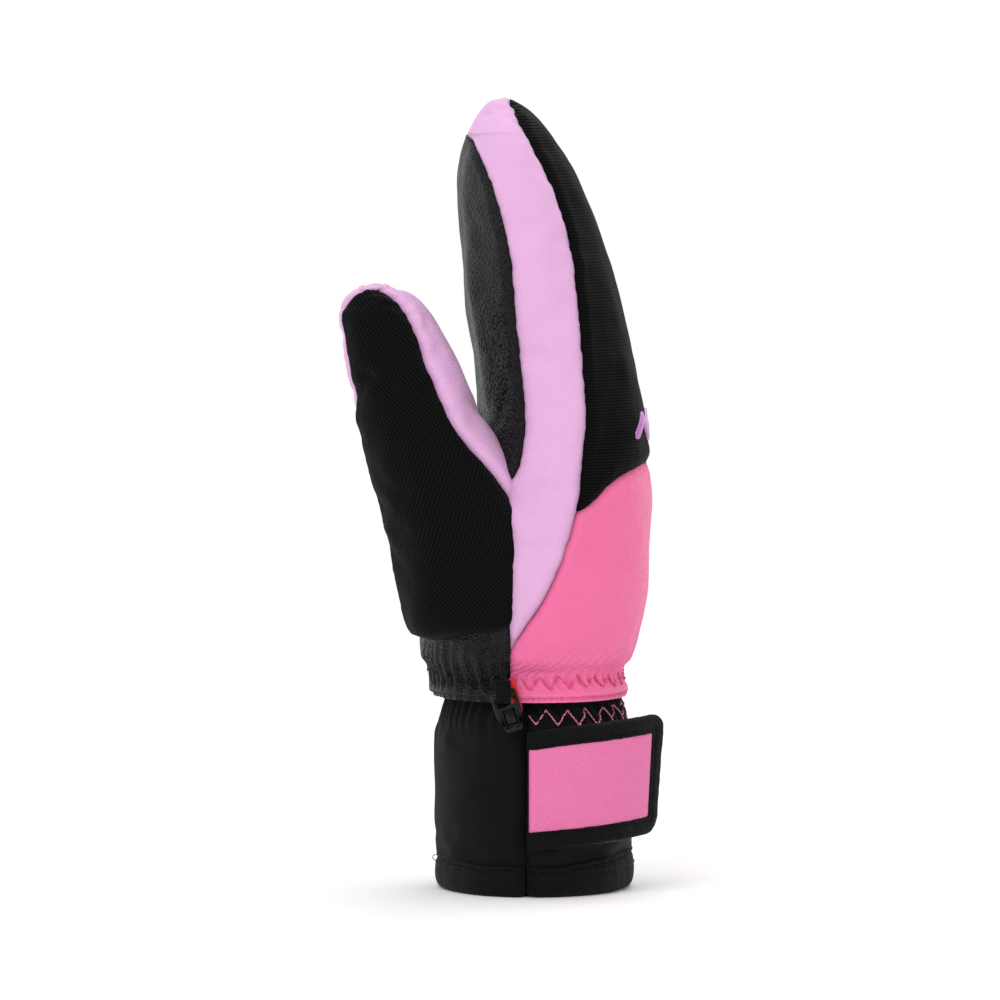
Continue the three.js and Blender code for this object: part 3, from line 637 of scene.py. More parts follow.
def inflate(place, hold, t_range, rows, columns, growth, pressure, cap):
    """Swells a tube of cloth by no more than cap.

    place(t, turn) gives its points, and hold(t, turn) how firmly each is sewn down, from 0 to 1.
    """
    t, turn = tube_grid(t_range, rows, columns)
    start = place(t, turn)
    firm = hold(t, turn)
    firm[[0, -1]] = 1
    outward_faces = [face[::-1] for face in grid_faces(rows, columns, wrap=True)]
    obj = new_object("swelling", start.reshape(-1, 3), outward_faces, FLEECE)
    obj.data.transform(obj.matrix_world * SWELL_SCALE)
    sewn = obj.vertex_groups.new(name="sewn")
    for index, value in enumerate(firm.ravel()):
        sewn.add([index], float(value), "REPLACE")
    cloth_settings(obj, growth, pressure)
    scene = bpy.context.scene
    for number in range(1, SWELL_FRAMES + 1):
        scene.frame_set(number)
    mesh = obj.evaluated_get(bpy.context.evaluated_depsgraph_get()).to_mesh()
    points = np.empty(len(mesh.vertices) * 3)
    mesh.vertices.foreach_get("co", points)
    scene.frame_set(1)
    bpy.data.objects.remove(obj)
    moved = points.reshape(start.shape) / MM / SWELL_SCALE - start
    size = np.linalg.norm(moved, axis=-1, keepdims=True)
    moved *= np.minimum(1, cap / np.maximum(size, 1e-6))
    return Puff(t_range, moved)


def near(value, target, width):
    """1 at target, fading over width on both sides."""
    return np.exp(-(((value - target) / width) ** 2))


def bands(value, rows):
    """The sum of soft bands, each (place, width, strength)."""
    return sum(strength * near(value, place, width) for place, width, strength in rows)


SINK, HEM_SINK, TIP_SINK = 1.6, 0.2, 1.2


def sunk(t, tip):
    """How far the cloth lies under the CAD surface before it swells."""
    at_hem, at_tip = 1 - smooth(0.3, 1.6, t), smooth(tip - 1.6, tip, t)
    return SINK + (HEM_SINK - SINK) * at_hem + (TIP_SINK - SINK) * at_tip


def hold_hand(t, turn):
    """How firmly the hand's cloth is held: at its seams, at the seam across the back, at hem and tip."""
    seams = hand_seams(t)
    back_seams = (near(turn, seams[1], 0.07) + near(turn, seams[4], 0.07)) * (t < BACK_TOP)
    palm_seams = (near(turn, seams[2], 0.07) + near(turn, seams[3], 0.07)) * (t < PALM_TOP)
    seam = (back_seams + palm_seams) * (t > GUSSET_START)
    across_back = near(t, 5.2, 0.12) * (np.minimum(turn, 2 * math.pi - turn) < seams[1])
    return np.clip(0.9 * seam + 0.6 * across_back + (t < 1.5) + smooth(13.2, 13.7, t), 0, 1)


def hold_thumb(t, turn):
    seams = thumb_seams(t) % (2 * math.pi)
    seam = sum(near(turn, seams[i], 0.1) for i in (1, 2, 3, 4))
    return np.clip(0.9 * seam * (t > 2.5) + (t < 0.8) + smooth(7.6, 8.4, t), 0, 1)


def hold_cuff(z, turn):
    seam = near(turn, math.radians(CUFF_SEAM), 0.05) + near(turn, math.radians(360 - CUFF_SEAM), 0.05)
    return np.clip(0.8 * seam + (z < 9) + (z > 48), 0, 1)


HAND_PUFF = inflate(
    lambda t, turn: HAND.at(t, turn, sunk(t, TIP)), hold_hand, (0.8, 13.8),
    rows=60, columns=84, growth=0.022, pressure=7, cap=2.2,
)
THUMB_PUFF = inflate(
    lambda t, turn: THUMB.at(t, turn, sunk(t, THUMB_TIP)), hold_thumb, (0.2, 8.8),
    rows=44, columns=60, growth=0.028, pressure=8, cap=2.2,
)
CUFF_PUFF = inflate(
    lambda z, turn: on_cuff(z, turn, 0.3), hold_cuff, (6, 56),
    rows=24, columns=84, growth=0.02, pressure=1.2, cap=0.9,
)


# ---- Fabric panels ----

class Edges:
    """How far each point of a panel is from each of its edges, and along them, in millimetres."""

    def __init__(self, points):
        self.across = lengths(points, 1)
        self.along = lengths(points, 0)
        self.left, self.right = self.across, self.across[:, -1:] - self.across
        self.bottom, self.top = self.along, self.along[-1:] - self.along


SEAM_WIDTH, SEAM_ROLL, SEAM_PUCKER = 1.9, 0.28, 0.2


def seam_shape(distance, along, seed):
    """The cloth dives 1 mm into a seam, and puckers where the thread pulls it."""
    rng = np.random.default_rng(seed)
    wobble = sum(np.sin(along * 2 * math.pi / pitch + rng.uniform(0, 6)) for pitch in (3.1, 4.3, 6.7)) / 3
    dive = -np.exp(-((distance / SEAM_WIDTH) ** 1.4))
    roll = SEAM_ROLL * near(distance, 3.4, 2.0)
    return dive + roll + SEAM_PUCKER * wobble * np.exp(-distance / 4.5)


BORDERS = {"left": np.s_[:, :1], "right": np.s_[:, -1:], "bottom": np.s_[:1], "top": np.s_[-1:]}


def doubled_border(array, side):
    """The grid with its line along one side twice."""
    line = array[BORDERS[side]]
    order = [line, array] if side in ("left", "bottom") else [array, line]
    return np.concatenate(order, axis=1 if side in ("left", "right") else 0)


SKIRT = 1.7  # how far the cloth turns in past a seam


def panel_mesh(points, edges, outward, sewn, uv):
    """Vertices, uvs, painted seam shade and faces of a panel. sewn says how strongly each sewn side turns in.
    """
    # Painted shade along each sewn side, where the cloth turns into the seam.
    painted_shade = np.zeros(points.shape[:2])
    for side, weight in sewn.items():
        painted_shade = np.maximum(painted_shade, weight * np.exp(-((getattr(edges, side) / 0.9) ** 2)))
    depth = {side: np.broadcast_to(weight, points.shape[:2]) for side, weight in sewn.items()}
    for side in sewn:
        points, outward, uv, painted_shade = (doubled_border(array, side) for array in (points, outward, uv, painted_shade))
        depth = {name: doubled_border(weight, side) for name, weight in depth.items()}
        points[BORDERS[side]] -= outward[BORDERS[side]] * depth[side][BORDERS[side]][..., None] * SKIRT
    rows, columns = points.shape[:2]
    return points.reshape(-1, 3), uv.reshape(-1, 2), painted_shade.ravel(), grid_faces(rows, columns)


def panel(name, material, strips, where, sewn, detail, spacing, seed, wrinkle=0.28, level=False):
    """One fabric piece made of one or more strips.

    A strip is (grid, size, strength): t and turn over a grid of fractions, its length and width, and how
    strong each seam is at t. where is (place, centre, puff), sewn names each strip's sewn sides, and level
    lays the weave by height and not along the cloth.
    """
    place, centre, puff = where
    parts = []
    for (grid, size, strength), sewn_sides in zip(strips, sewn):
        rows, columns = (max(int(length / spacing) + 1, 8) for length in size)
        a, b = np.meshgrid(np.linspace(0, 1, rows), np.linspace(0, 1, columns), indexing="ij")
        t, turn = grid(a, b)
        points = place(t, turn) + puff.at(t, turn)
        edges = Edges(points)
        outward = normals(points, centre(t))
        offset = wrinkle * (0.8 * ripple(points, 23, seed + 5) + 0.5 * ripple(points, 9, seed + 6))
        weights = strength(t) if strength else {}
        sides = {side: weights.get(side, 1.0) for side in sewn_sides}
        for side, weight in sides.items():
            along = edges.along if side in ("left", "right") else edges.across
            offset = offset + weight * seam_shape(getattr(edges, side), along, seed + ord(side[0]))
        offset = offset + detail(points, edges, t, turn)
        points = points + outward * offset[..., None]
        middle = np.s_[:, columns // 2 : columns // 2 + 1]
        upward = points[..., 2] if level else np.broadcast_to(edges.along[middle], a.shape)
        uv = np.stack([edges.across - edges.across[middle], upward], -1)
        parts.append(panel_mesh(points, edges, outward, sides, uv))
    return join_parts(name, material, parts)


def join_parts(name, material, parts):
    """One welded piece from parts, each (vertices, uvs, painted shade, faces)."""
    vertices, uvs, painted_shades, faces = [], [], [], []
    start = 0
    for points, uv, painted_shade, quads in parts:
        faces += [tuple(corner + start for corner in quad) for quad in quads]
        start += len(points)
        vertices.append(points)
        uvs.append(uv)
        painted_shades.append(painted_shade)
    vertices, uvs, painted_shades = (np.concatenate(rows) for rows in (vertices, uvs, painted_shades))
    return weld(new_object(name, vertices, faces, material, uvs, painted_shades))


QUICK_RISE = 0.8


def cloth_on(form, tip, puff):
    """Where a form's cloth lies before it swells, the line it faces away from, and how it swells."""
    return (
        lambda t, turn: form.at(t, turn, sunk(t, tip) - QUICK_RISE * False),
        lambda t: form.spine(t) + OFFSET,
        puff,
    )


ON_HAND = cloth_on(HAND, TIP, HAND_PUFF)
ON_THUMB = cloth_on(THUMB, THUMB_TIP, THUMB_PUFF)


def seam_gap(form, t):
    """Half the groove between two panels, as a turn."""
    return 0.12 / np.maximum(through(form.half, t), 3)


def strip(form, columns, rows, ease=(1, -1)):
    """A grid over part of a form. rows are numbers, or functions of the column."""

    def grid(a, b):
        column = columns[0] + (columns[1] - columns[0]) * b
        low, high = (row(column) if callable(row) else row for row in rows)
        t = low + (high - low) * a
        around = column % form.edges[-1] if columns[0] < 0 else column
        turn = form.turn(around, t)
        if columns[0] < 0:
            turn = np.where(column < 0, turn - 2 * math.pi, turn)
        gap = seam_gap(form, t)
        return t, turn + gap * (ease[0] * near(b, 0, 0.02) + ease[1] * near(b, 1, 0.02))

    return grid


def back_seam_row(column):
    return through(BACK_SEAM_ROWS, np.abs(column))


def gathers(arc, pitch, seed):
    """Uneven folds across a gathered edge, from -1 to 1."""
    rng = np.random.default_rng(seed)
    phase = arc / pitch + 0.5 * np.sin(arc / 13 + rng.uniform(0, 6))
    phase = phase + 0.3 * np.sin(arc / 5.3 + rng.uniform(0, 6))
    wave = np.sin(2 * math.pi * phase)
    return np.sign(wave) * np.abs(wave) ** 0.75


HEM_STITCH = 64.4  # height of the zigzag at the gathered wrist
GATHERED = ((HEM_STITCH, 2.3, 1.0), (68.5, 2.6, 0.7), (74, 4, 0.3), (58.5, 1.6, 0.35))
DRAWN_IN = ((HEM_STITCH, 1.6, -0.5), (60.6, 1.3, 0.7), (59.6, 0.45, -0.35))
WRIST_TOP = 70


def wrist_folds(pitch, height, seed):
    """Detail of a panel above its gathered hem."""

    def detail(points, edges, t, turn):
        z = points[..., 2]
        arc = edges.across + 0.8 * np.sin(z / 3)
        waist = bands(z, DRAWN_IN) * (z < WRIST_TOP)
        broad = 0.8 * near(z, 80, 9) * ripple(points * [1, 1, 0.35], 11, seed)
        return height * bands(z, GATHERED) * gathers(arc, pitch, seed) + waist + broad

    return detail


FOLD_STRETCH = (1, 1, 0.5)  # folds run twice as far up the mitten as across it


def soft_folds(amount, seed):
    """Broad folds and a few thin creases in padded cloth."""

    def detail(points, edges, t, turn):
        clear = np.minimum(np.minimum(edges.left, edges.right), 12) / 12
        folds = ripple(points * FOLD_STRETCH, 16, seed) - 0.8 * ridges(points * FOLD_STRETCH, 34, seed + 1)
        return amount * folds * clear

    return detail


def both(*details):
    return lambda *known: sum(detail(*known) for detail in details)


def top_fade(t):
    """The gusset has no back seam or palm seam past the tops of those panels."""
    back, palm = 1 - smooth(BACK_TOP - 0.25, BACK_TOP, t), 1 - smooth(PALM_TOP - 0.2, PALM_TOP, t)
    return {"left": back, "right": palm}


def top_fade_far(t):
    fade = top_fade(t)
    return {"left": fade["right"], "right": fade["left"]}


def point_fade(t):
    """The back panel's two side seams run together in a point at the fingertips."""
    fade = 1 - smooth(BACK_TOP - 0.35, BACK_TOP - 0.05, t)
    return {"left": fade, "right": fade}


# The stretches over which cloth bends with the finger joint and with the thumb joint, in metres.
FLEX = ("hand", "fingers", (0.0, 0.0, 0.133), (0.0, 0.0, 0.17))
spread_start = np.array([-17.0, -11.0, 120.0]) + OFFSET
spread_end = spread_start + np.array([-0.84, -0.54, 0.0]) * 19
SPREAD = ("hand", "thumb", tuple(spread_start * MM), tuple(spread_end * MM))
SIDES = ("left", "right")

palm = panel(
    "palm_leather", LEATHER,
    [(strip(HAND, (PALM_SEAM, HAND_COLUMNS - PALM_SEAM), (0.0, PALM_TOP)), (176, 118), None)],
    ON_HAND, [SIDES], both(wrist_folds(4.6, 0.7, 31), soft_folds(0.55, 33)), spacing=0.95, seed=3,
)
lower = panel(
    "back_pink_cloth", PINK,
    [(strip(HAND, (-BACK_SEAM, BACK_SEAM), (0.0, back_seam_row)), (72, 100), None)],
    ON_HAND, [(*SIDES, "top")], both(wrist_folds(3.6, 0.5, 41), soft_folds(0.3, 42)), spacing=0.55, seed=4,
)
upper = panel(
    "back_black_cloth", BLACK_RIB,
    [(strip(HAND, (-BACK_SEAM, BACK_SEAM), (back_seam_row, BACK_TOP)), (122, 96), point_fade)],
    ON_HAND, [(*SIDES, "bottom")], soft_folds(0.35, 52), spacing=0.95, seed=5, level=True,
)
FAR_SIDE = (HAND_COLUMNS - PALM_SEAM, HAND_COLUMNS - BACK_SEAM)
gusset = panel(
    "side_gusset_cloth", LILAC,
    [
        (strip(HAND, (BACK_SEAM, PALM_SEAM), (GUSSET_START, TIP)), (165, 26), top_fade),
        (strip(HAND, FAR_SIDE, (GUSSET_START, TIP)), (165, 26), top_fade_far),
    ],
    ON_HAND, [SIDES, SIDES], soft_folds(0.3, 62), spacing=0.7, seed=6,
)

thumb_back = panel(
    "thumb_black_cloth", BLACK_OXFORD,
    [(strip(THUMB, (THUMB_NEAR_RIGHT, THUMB_NEAR_LEFT), (0.4, THUMB_PANEL_TOP)), (112, 52), None)],
    ON_THUMB, [(*SIDES, "top")], soft_folds(0.4, 72), spacing=0.8, seed=7,
)
thumb_palm = panel(
    "thumb_leather", LEATHER,
    [(strip(THUMB, (THUMB_FAR_LEFT, THUMB_COLUMNS), (0.4, THUMB_PANEL_TOP)), (112, 52), None)],
    ON_THUMB, [(*SIDES, "top")], soft_folds(0.5, 82), spacing=0.8, seed=8,
)
CAP_START = 8.32


def cap_edge(points, edges, t, turn):
    """The cap at the thumb's tip lies over the tops of the panels under it."""
    return 0.45 * smooth(CAP_START - 0.02, CAP_START, t)


def cap_seam(t):
    return {"bottom": 0.35}


WEB_SIDE, OUTER_SIDE = (0, THUMB_NEAR_RIGHT), (THUMB_NEAR_LEFT, THUMB_FAR_LEFT)
thumb_strip = panel(
    "thumb_gusset_cloth", LILAC,
    [
        (strip(THUMB, WEB_SIDE, (1.6, THUMB_PANEL_TOP)), (96, 24), None),
        (strip(THUMB, OUTER_SIDE, (THUMB_STRIP_START, THUMB_PANEL_TOP)), (70, 14), None),
        (strip(THUMB, (0, THUMB_COLUMNS), (CAP_START, THUMB_TIP), (0, 0)), (14, 80), cap_seam),
    ],
    ON_THUMB, [SIDES, SIDES, ("bottom",)], both(soft_folds(0.2, 92), cap_edge), spacing=0.6, seed=9,
)

hand_surface = HAND.at(*tube_grid((0, 13.9), 70, 80)).reshape(-1, 3) * MM
HAND_SKIN = BVHTree.FromPolygons([tuple(point) for point in hand_surface], grid_faces(70, 80, wrap=True))


HAND_MIDDLE = (0.012, 0.002)  # metres


def trim_inside(obj, depth):
    """Drops the faces that lie deeper than this inside the hand, where nobody sees them."""
    mesh = bmesh.new()
    mesh.from_mesh(obj.data)
    buried = set()
    for vertex in mesh.verts:
        place, normal, _, _ = HAND_SKIN.find_nearest(vertex.co)
        centre = Vector((*HAND_MIDDLE, vertex.co.z))
        outward = normal if normal.dot(place - centre) > 0 else -normal
        if (vertex.co - place).dot(outward) < -depth * MM:
            buried.add(vertex)
    bmesh.ops.delete(mesh, geom=[f for f in mesh.faces if all(v in buried for v in f.verts)], context="FACES")
    mesh.to_mesh(obj.data)
    mesh.free()


for piece in (thumb_back, thumb_palm, thumb_strip):
    trim_inside(piece, 3.5)

GUSSET_NODES = ("side_gusset_thumb_side", "side_gusset_little_side", "side_gusset_fingers")
finish_piece(palm, "hand", ("palm_panel_hand", "palm_panel_fingers"), FLEX, 0.6)
finish_piece(lower, "hand", ("back_panel_lower",), None, 0.7)
finish_piece(upper, "hand", ("back_panel_hand", "back_panel_fingers"), FLEX, 0.7)
finish_piece(gusset, "hand", GUSSET_NODES, FLEX, 0.7)
finish_piece(thumb_back, "thumb", ("thumb_back_panel",), SPREAD, 0.7)
finish_piece(thumb_palm, "thumb", ("thumb_palm_panel",), SPREAD, 0.6)
finish_piece(thumb_strip, "thumb", ("thumb_gusset",), SPREAD, 0.7)

# ---- Padding and lining ----

def filling(name, material, place, t_range, outer, inner, relief, seed, rows=90, columns=120):
    """A soft uneven layer between two depths, open at its bottom rim."""
    t, turn = tube_grid(t_range, rows, columns)
    base = place(t, turn, outer)
    lumps = relief * (0.6 * ripple(base, 7, seed) + 0.5 * ripple(base, 2.6, seed + 1))
    skin, back = place(t, turn, outer + lumps), place(t, turn, inner - 0.6 * lumps)
    points = np.concatenate([skin, back[::-1]])
    faces = grid_faces(2 * rows, columns, wrap=True)
    last = (2 * rows - 1) * columns
    for i in range(columns):
        after = (i + 1) % columns
        faces.append((i, after, last + after, last + i))
    uv = np.stack([turn * 30, t * 17], -1)
    uv = np.concatenate([uv, uv[::-1]]).reshape(-1, 2)
    return weld(new_object(name, points.reshape(-1, 3), faces, material, uv))


WADDING_LOOK, FLEECE_LOOK = (WADDING, (3.6, 4.5), 0.35), (FLEECE, (4.9, 6.0), 0.3)  # cloth, depths, relief
TRIM_DEPTH = 5.5
for name, body, (cloth, depths, relief), t_range, seed, nodes, fill in (
    ("hand_wadding", "hand", WADDING_LOOK, (LINED_FROM, 13.9), 101, ("padding_hand", "padding_fingers"), 0.6),
    ("hand_fleece", "hand", FLEECE_LOOK, (LINED_FROM, 13.85), 103, ("lining_hand", "lining_fingers"), 0.4),
    ("thumb_wadding", "thumb", WADDING_LOOK, (0.3, 8.9), 105, ("thumb_padding",), 0.6),
    ("thumb_fleece", "thumb", FLEECE_LOOK, (0.3, 8.85), 107, ("thumb_lining",), 0.4),
):
    form, across = (HAND, FLEX) if body == "hand" else (THUMB, SPREAD)
    layer = filling(name, cloth, form.at, t_range, *depths, relief, seed)
    if body == "thumb":
        trim_inside(layer, TRIM_DEPTH)
    finish_piece(layer, body, nodes, across, fill)

# ---- Cuff: two panels, each bound at its hem, a fleece lining and the elastics ----

CUFF_STITCH = 54.0
HEM_HEIGHT = 8.7
CUFF_PARTS = {"palm": (CUFF_SEAM, 360 - CUFF_SEAM), "back": (-CUFF_SEAM, CUFF_SEAM)}


def on_soft_cuff(z, turn):
    """The cuff's cloth. Towards the palm it lies a little deeper below the gathers."""
    return on_cuff(z, turn, 0.4 + 0.9 * smooth(0.2, 1, -np.cos(turn)) * smooth(70, 50, z))


def cuff_centre(z):
    return np.stack([np.full_like(z, CUFF_CENTRE[0]), np.zeros_like(z), z], -1) + OFFSET


def cuff_folds(seed, gathered):
    """The elastic draws the top of the cuff into folds. Lower down the cloth is nearly smooth."""

    def detail(points, edges, t, turn):
        arc = edges.across + 1.5 * np.sin(t / 3)
        drawn = gathered * (near(t, CUFF_STITCH, 4) + 0.9 * near(t, 60, 4)) * gathers(arc, 3.6, seed)
        falling = smooth(30, 56, t) * (1 - smooth(60, 66, t))
        hanging = 0.45 * falling * ripple(points * [1, 1, 0.2], 8, seed + 1)
        broad = 0.5 * ripple(points * [1, 1, 0.45], 26, seed + 2) * smooth(6, 16, t)
        hem = -0.5 * near(t, HEM_HEIGHT + 0.6, 1.0)
        return drawn + hanging + broad + hem

    return detail


CUFF_BOTTOM, CUFF_CLOTH_TOP = 2.0, 64.5


def cuff_strip(part):
    from_turn, to_turn = CUFF_PARTS[part]

    def grid(a, b):
        z = CUFF_BOTTOM + (CUFF_CLOTH_TOP - CUFF_BOTTOM) * a
        return z, np.radians(from_turn + 0.25 + (to_turn - from_turn - 0.5) * b)

    return grid


ON_CUFF = (on_soft_cuff, cuff_centre, CUFF_PUFF)
cuff_palm = panel(
    "cuff_palm_softshell", CUFF_KNIT, [(cuff_strip("palm"), (62, 98), None)], ON_CUFF, [SIDES],
    cuff_folds(111, 0.35), spacing=0.8, seed=11, wrinkle=0.16,
)
cuff_back = panel(
    "cuff_back_nylon", BLACK_NYLON, [(cuff_strip("back"), (62, 104), None)], ON_CUFF, [SIDES],
    cuff_folds(121, 0.6), spacing=0.7, seed=12, wrinkle=0.2,
)
finish_piece(cuff_palm, "hand", ("cuff_palm_panel",), None, 0.3)
finish_piece(cuff_back, "hand", ("cuff_back_panel",), None, 0.3)

# The hem tape's section, as (depth under the cuff's outside, height): down the outside, up the inside.
HEM_SECTION = [
    (0.2, 9.0), (-0.35, 9.1), (-0.75, 8.7), (-0.8, 8.2), (-0.35, 7.6), (-0.8, 6.9), (-1.25, 5.4),
    (-1.5, 3.6), (-1.4, 2.0), (-0.8, 0.7), (0.6, 0.05), (2.2, 0.0), (3.8, 0.1), (4.9, 0.8), (5.4, 2.4),
    (5.4, 5.0), (5.1, 7.4), (5.0, 8.4), (4.5, 8.8),
]
HEM_LOBE = (1.1, 1.3)  # rise and reach of the rounded corner at each end
HEM_RISE = {"back": 3.0, "palm": 1.6}  # how much the tape's top edge rises there
HEM_TUCK = 1.4  # how far it lies in at the palm
HEM_STITCH_ROW = 7.6


def hem_tape(name, part, seed):
    """A folded tape round one panel's lower edge, with rounded corners where the two panels part."""
    rows, columns = 110, 150
    steps = np.linspace(0, len(HEM_SECTION) - 1, rows)
    u, v = np.meshgrid(steps, np.linspace(0, 1, columns), indexing="ij")
    section = through(HEM_SECTION, u)
    depth, z = section[..., 0], section[..., 1]
    from_turn, to_turn = CUFF_PARTS[part]
    turn = np.radians(from_turn + 0.5 + (to_turn - from_turn - 1.0) * v)
    arc = lengths(on_cuff(np.zeros_like(v), turn), 1)
    to_end = np.minimum(arc, arc[:, -1:] - arc)
    lift = HEM_LOBE[0] * np.exp(-((to_end / HEM_LOBE[1]) ** 1.5))
    low = 1 - smooth(3, 8.5, z)
    pinch = np.exp(-((to_end / 1.3) ** 2))
    base = on_cuff(np.full_like(v, 2.0), turn)
    roll = 0.22 * ripple(base, 9, seed) + 0.12 * ripple(base, 3.4, seed + 1)
    outer = 1 - smooth(-1.0, 2.5, depth)
    to_back, to_palm = np.cos(turn), -np.cos(turn)
    rise = HEM_RISE["back"] * smooth(0.2, 1, to_back) + HEM_RISE["palm"] * smooth(0.4, 1, to_palm)
    sway = 0.3 * ripple(base, 17, seed + 2) * smooth(4, 9, z)
    depth = depth - roll * outer + 0.9 * pinch * outer + HEM_TUCK * smooth(0.2, 1, to_palm)
    points = on_cuff(np.clip(z, 0, 9), turn, depth)
    points[..., 2] = np.maximum(z + lift * low + rise * smooth(-2, 7, z) + sway, 0)
    # Painted shade along the stitch row and at the pinched corners.
    painted_shade = np.maximum(near(z, HEM_STITCH_ROW, 0.4) * (depth < 1), pinch)
    uv = np.stack([arc, lengths(points, 0)], -1)
    return panel_piece(name, TWILL, points, uv, painted_shade)


def panel_piece(name, material, points, uv, painted_shade=None):
    """A grid of points as one welded piece."""
    painted_shade = None if painted_shade is None else painted_shade.ravel()
    faces = grid_faces(*points.shape[:2])
    return weld(new_object(name, points.reshape(-1, 3), faces, material, uv.reshape(-1, 2), painted_shade))


hem_palm = hem_tape("hem_tape_palm", "palm", 131)
hem_back = hem_tape("hem_tape_back", "back", 135)
finish_piece(hem_palm, "hand", ("hem_binding_palm",))
finish_piece(hem_back, "hand", ("hem_binding_back",))


cuff_fleece = filling("cuff_fleece", FLEECE, on_cuff, (1.6, 65.5), 2.7, 4.3, 0.3, 141, rows=80, columns=150)
finish_piece(cuff_fleece, "hand", ("cuff_lining",), None, 0.3)


def band(name, material, place, z_range, turns, depths, ribs, seed):
    """A flat woven elastic with ribs along it, drawn in between gathers."""
    rows, columns = 24, 160
    v, u = np.meshgrid(np.linspace(0, 1, rows), np.linspace(0, 1, columns), indexing="ij")
    t = z_range[0] + (z_range[1] - z_range[0]) * v
    turn = np.radians(turns[0] + (turns[1] - turns[0]) * u)
    face = 0.12 * np.cos(v * ribs * 2 * math.pi)
    edge = 0.25 * (near(v, 0, 0.05) + near(v, 1, 0.05))
    outer = place(t, turn, depths[0] + edge - face + 0.1 * np.sin(u * 190 + seed))
    inner = place(t, turn, depths[1] - edge + face)
    points = np.concatenate([outer, inner[::-1]])
    uv = np.stack([lengths(points, 1), lengths(points, 0)], -1)
    return panel_piece(name, material, points, uv)


def inside_cuff(z, turn, depth):
    """The label's surface, which bows in at its sewn lower edge."""
    return on_cuff(z, turn, depth + 0.5 * near(z, 14, 5))


for node, *tape in (
    ("wrist_elastic", "wrist_elastic_band", ELASTIC, HAND.at, (0.5, 1.0), (0, 360), (3.1, 3.6), 6, 1),
    ("cuff_elastic", "cuff_elastic_band", ELASTIC, on_cuff, (49.7, 57.3), (-84, 84), (1.7, 2.3), 8, 2),
    ("care_label", "care_label_satin", LABEL, inside_cuff, (14.2, 37.8), (250, 285), (4.75, 5.05), 0.5, 3),
    ("loop_tape", "loop_fastening_tape", HOOKS, on_cuff, (15.6, 46.9), (28, 62), (-1.35, -0.4), 0.5, 4),
):
    finish_piece(band(*tape), "hand", (node,))

# ---- Wrist strap ----

BINDING_WIDTH = 5.4
BINDING_SEAM = BINDING_WIDTH - 1.2  # how far in from the strap's edge the binding is stitched
STRAP_END_DROP = 0.8  # the sewn end's top edge is this much lower, clear of the clip
CORNER_STEPS, END_STEPS, SIDE_STEPS = 14, 34, 70


def strap_outline(inset):
    """Points (along, height) round the strap, from its lower sewn corner to its upper one."""
    half, end = STRAP_HALF_HEIGHT - inset, STRAP_LENGTH - inset
    radius = max(STRAP_CORNER - inset, 0.7)
    a = np.linspace(0, math.pi / 2, CORNER_STEPS, endpoint=False)
    lower = [(s, -half) for s in np.linspace(0, end - radius, SIDE_STEPS, endpoint=False)]
    turn_up = [(end - radius + radius * math.sin(x), -half + radius - radius * math.cos(x)) for x in a]
    rise = [(end, h) for h in np.linspace(-half + radius, half - radius, END_STEPS, endpoint=False)]
    turn_back = [(end - radius + radius * math.cos(x), half - radius + radius * math.sin(x)) for x in a]
    upper = [(s, half) for s in np.linspace(end - radius, 0, SIDE_STEPS)]
    return np.array(lower + turn_up + rise + turn_back + upper)


def strap_place(flat, depth):
    low_end = STRAP_END_DROP * (1 - smooth(0, 16, flat[..., 0])) * smooth(0, STRAP_HALF_HEIGHT, flat[..., 1])
    return on_strap(np.minimum(flat[..., 0] / STRAP_LENGTH, 1.02), flat[..., 1] - low_end, depth)


# The binding's section, as (inset from the strap's edge, depth): front edge, over the rim, back edge.
BINDING_SECTION = [
    (BINDING_WIDTH + 0.1, -0.75), (BINDING_WIDTH, -1.25), (BINDING_WIDTH - 0.6, -1.45),
    (BINDING_SEAM, -1.15), (3.4, -1.55), (2.0, -1.7), (0.8, -1.45), (0.15, -0.8), (0.0, 0.0),
    (0.15, 0.8), (0.8, 1.4), (2.4, 1.55),
    (BINDING_WIDTH - 1.0, 1.35), (BINDING_WIDTH, 1.1), (BINDING_WIDTH + 0.1, 0.7),
]


def strap_tape():
    """A folded tape sewn over the strap's edge."""
    sections = through(BINDING_SECTION, np.linspace(0, len(BINDING_SECTION) - 1, 56))
    points = np.stack([strap_place(strap_outline(inset), depth) for inset, depth in sections])
    bumps = 0.14 * ripple(points, 6, 151) + 0.1 * ripple(points, 2.8, 152)
    points = points + bumps[..., None] * normals(points, points.mean(axis=0)[None])
    arc = np.broadcast_to(lengths(points, 1)[8], points.shape[:2])
    uv = np.stack([arc, lengths(points, 0)], -1)
    inset = sections[:, :1] + 0 * arc
    # Painted shade along the stitched line and the folded edge, on the tape's outer side.
    painted_shade = np.maximum(near(inset, BINDING_SEAM, 0.35), near(inset, BINDING_WIDTH, 0.25))
    painted_shade = painted_shade * (sections[:, 1:] < 0)
    return panel_piece("strap_binding_tape", TWILL, points, uv, painted_shade)


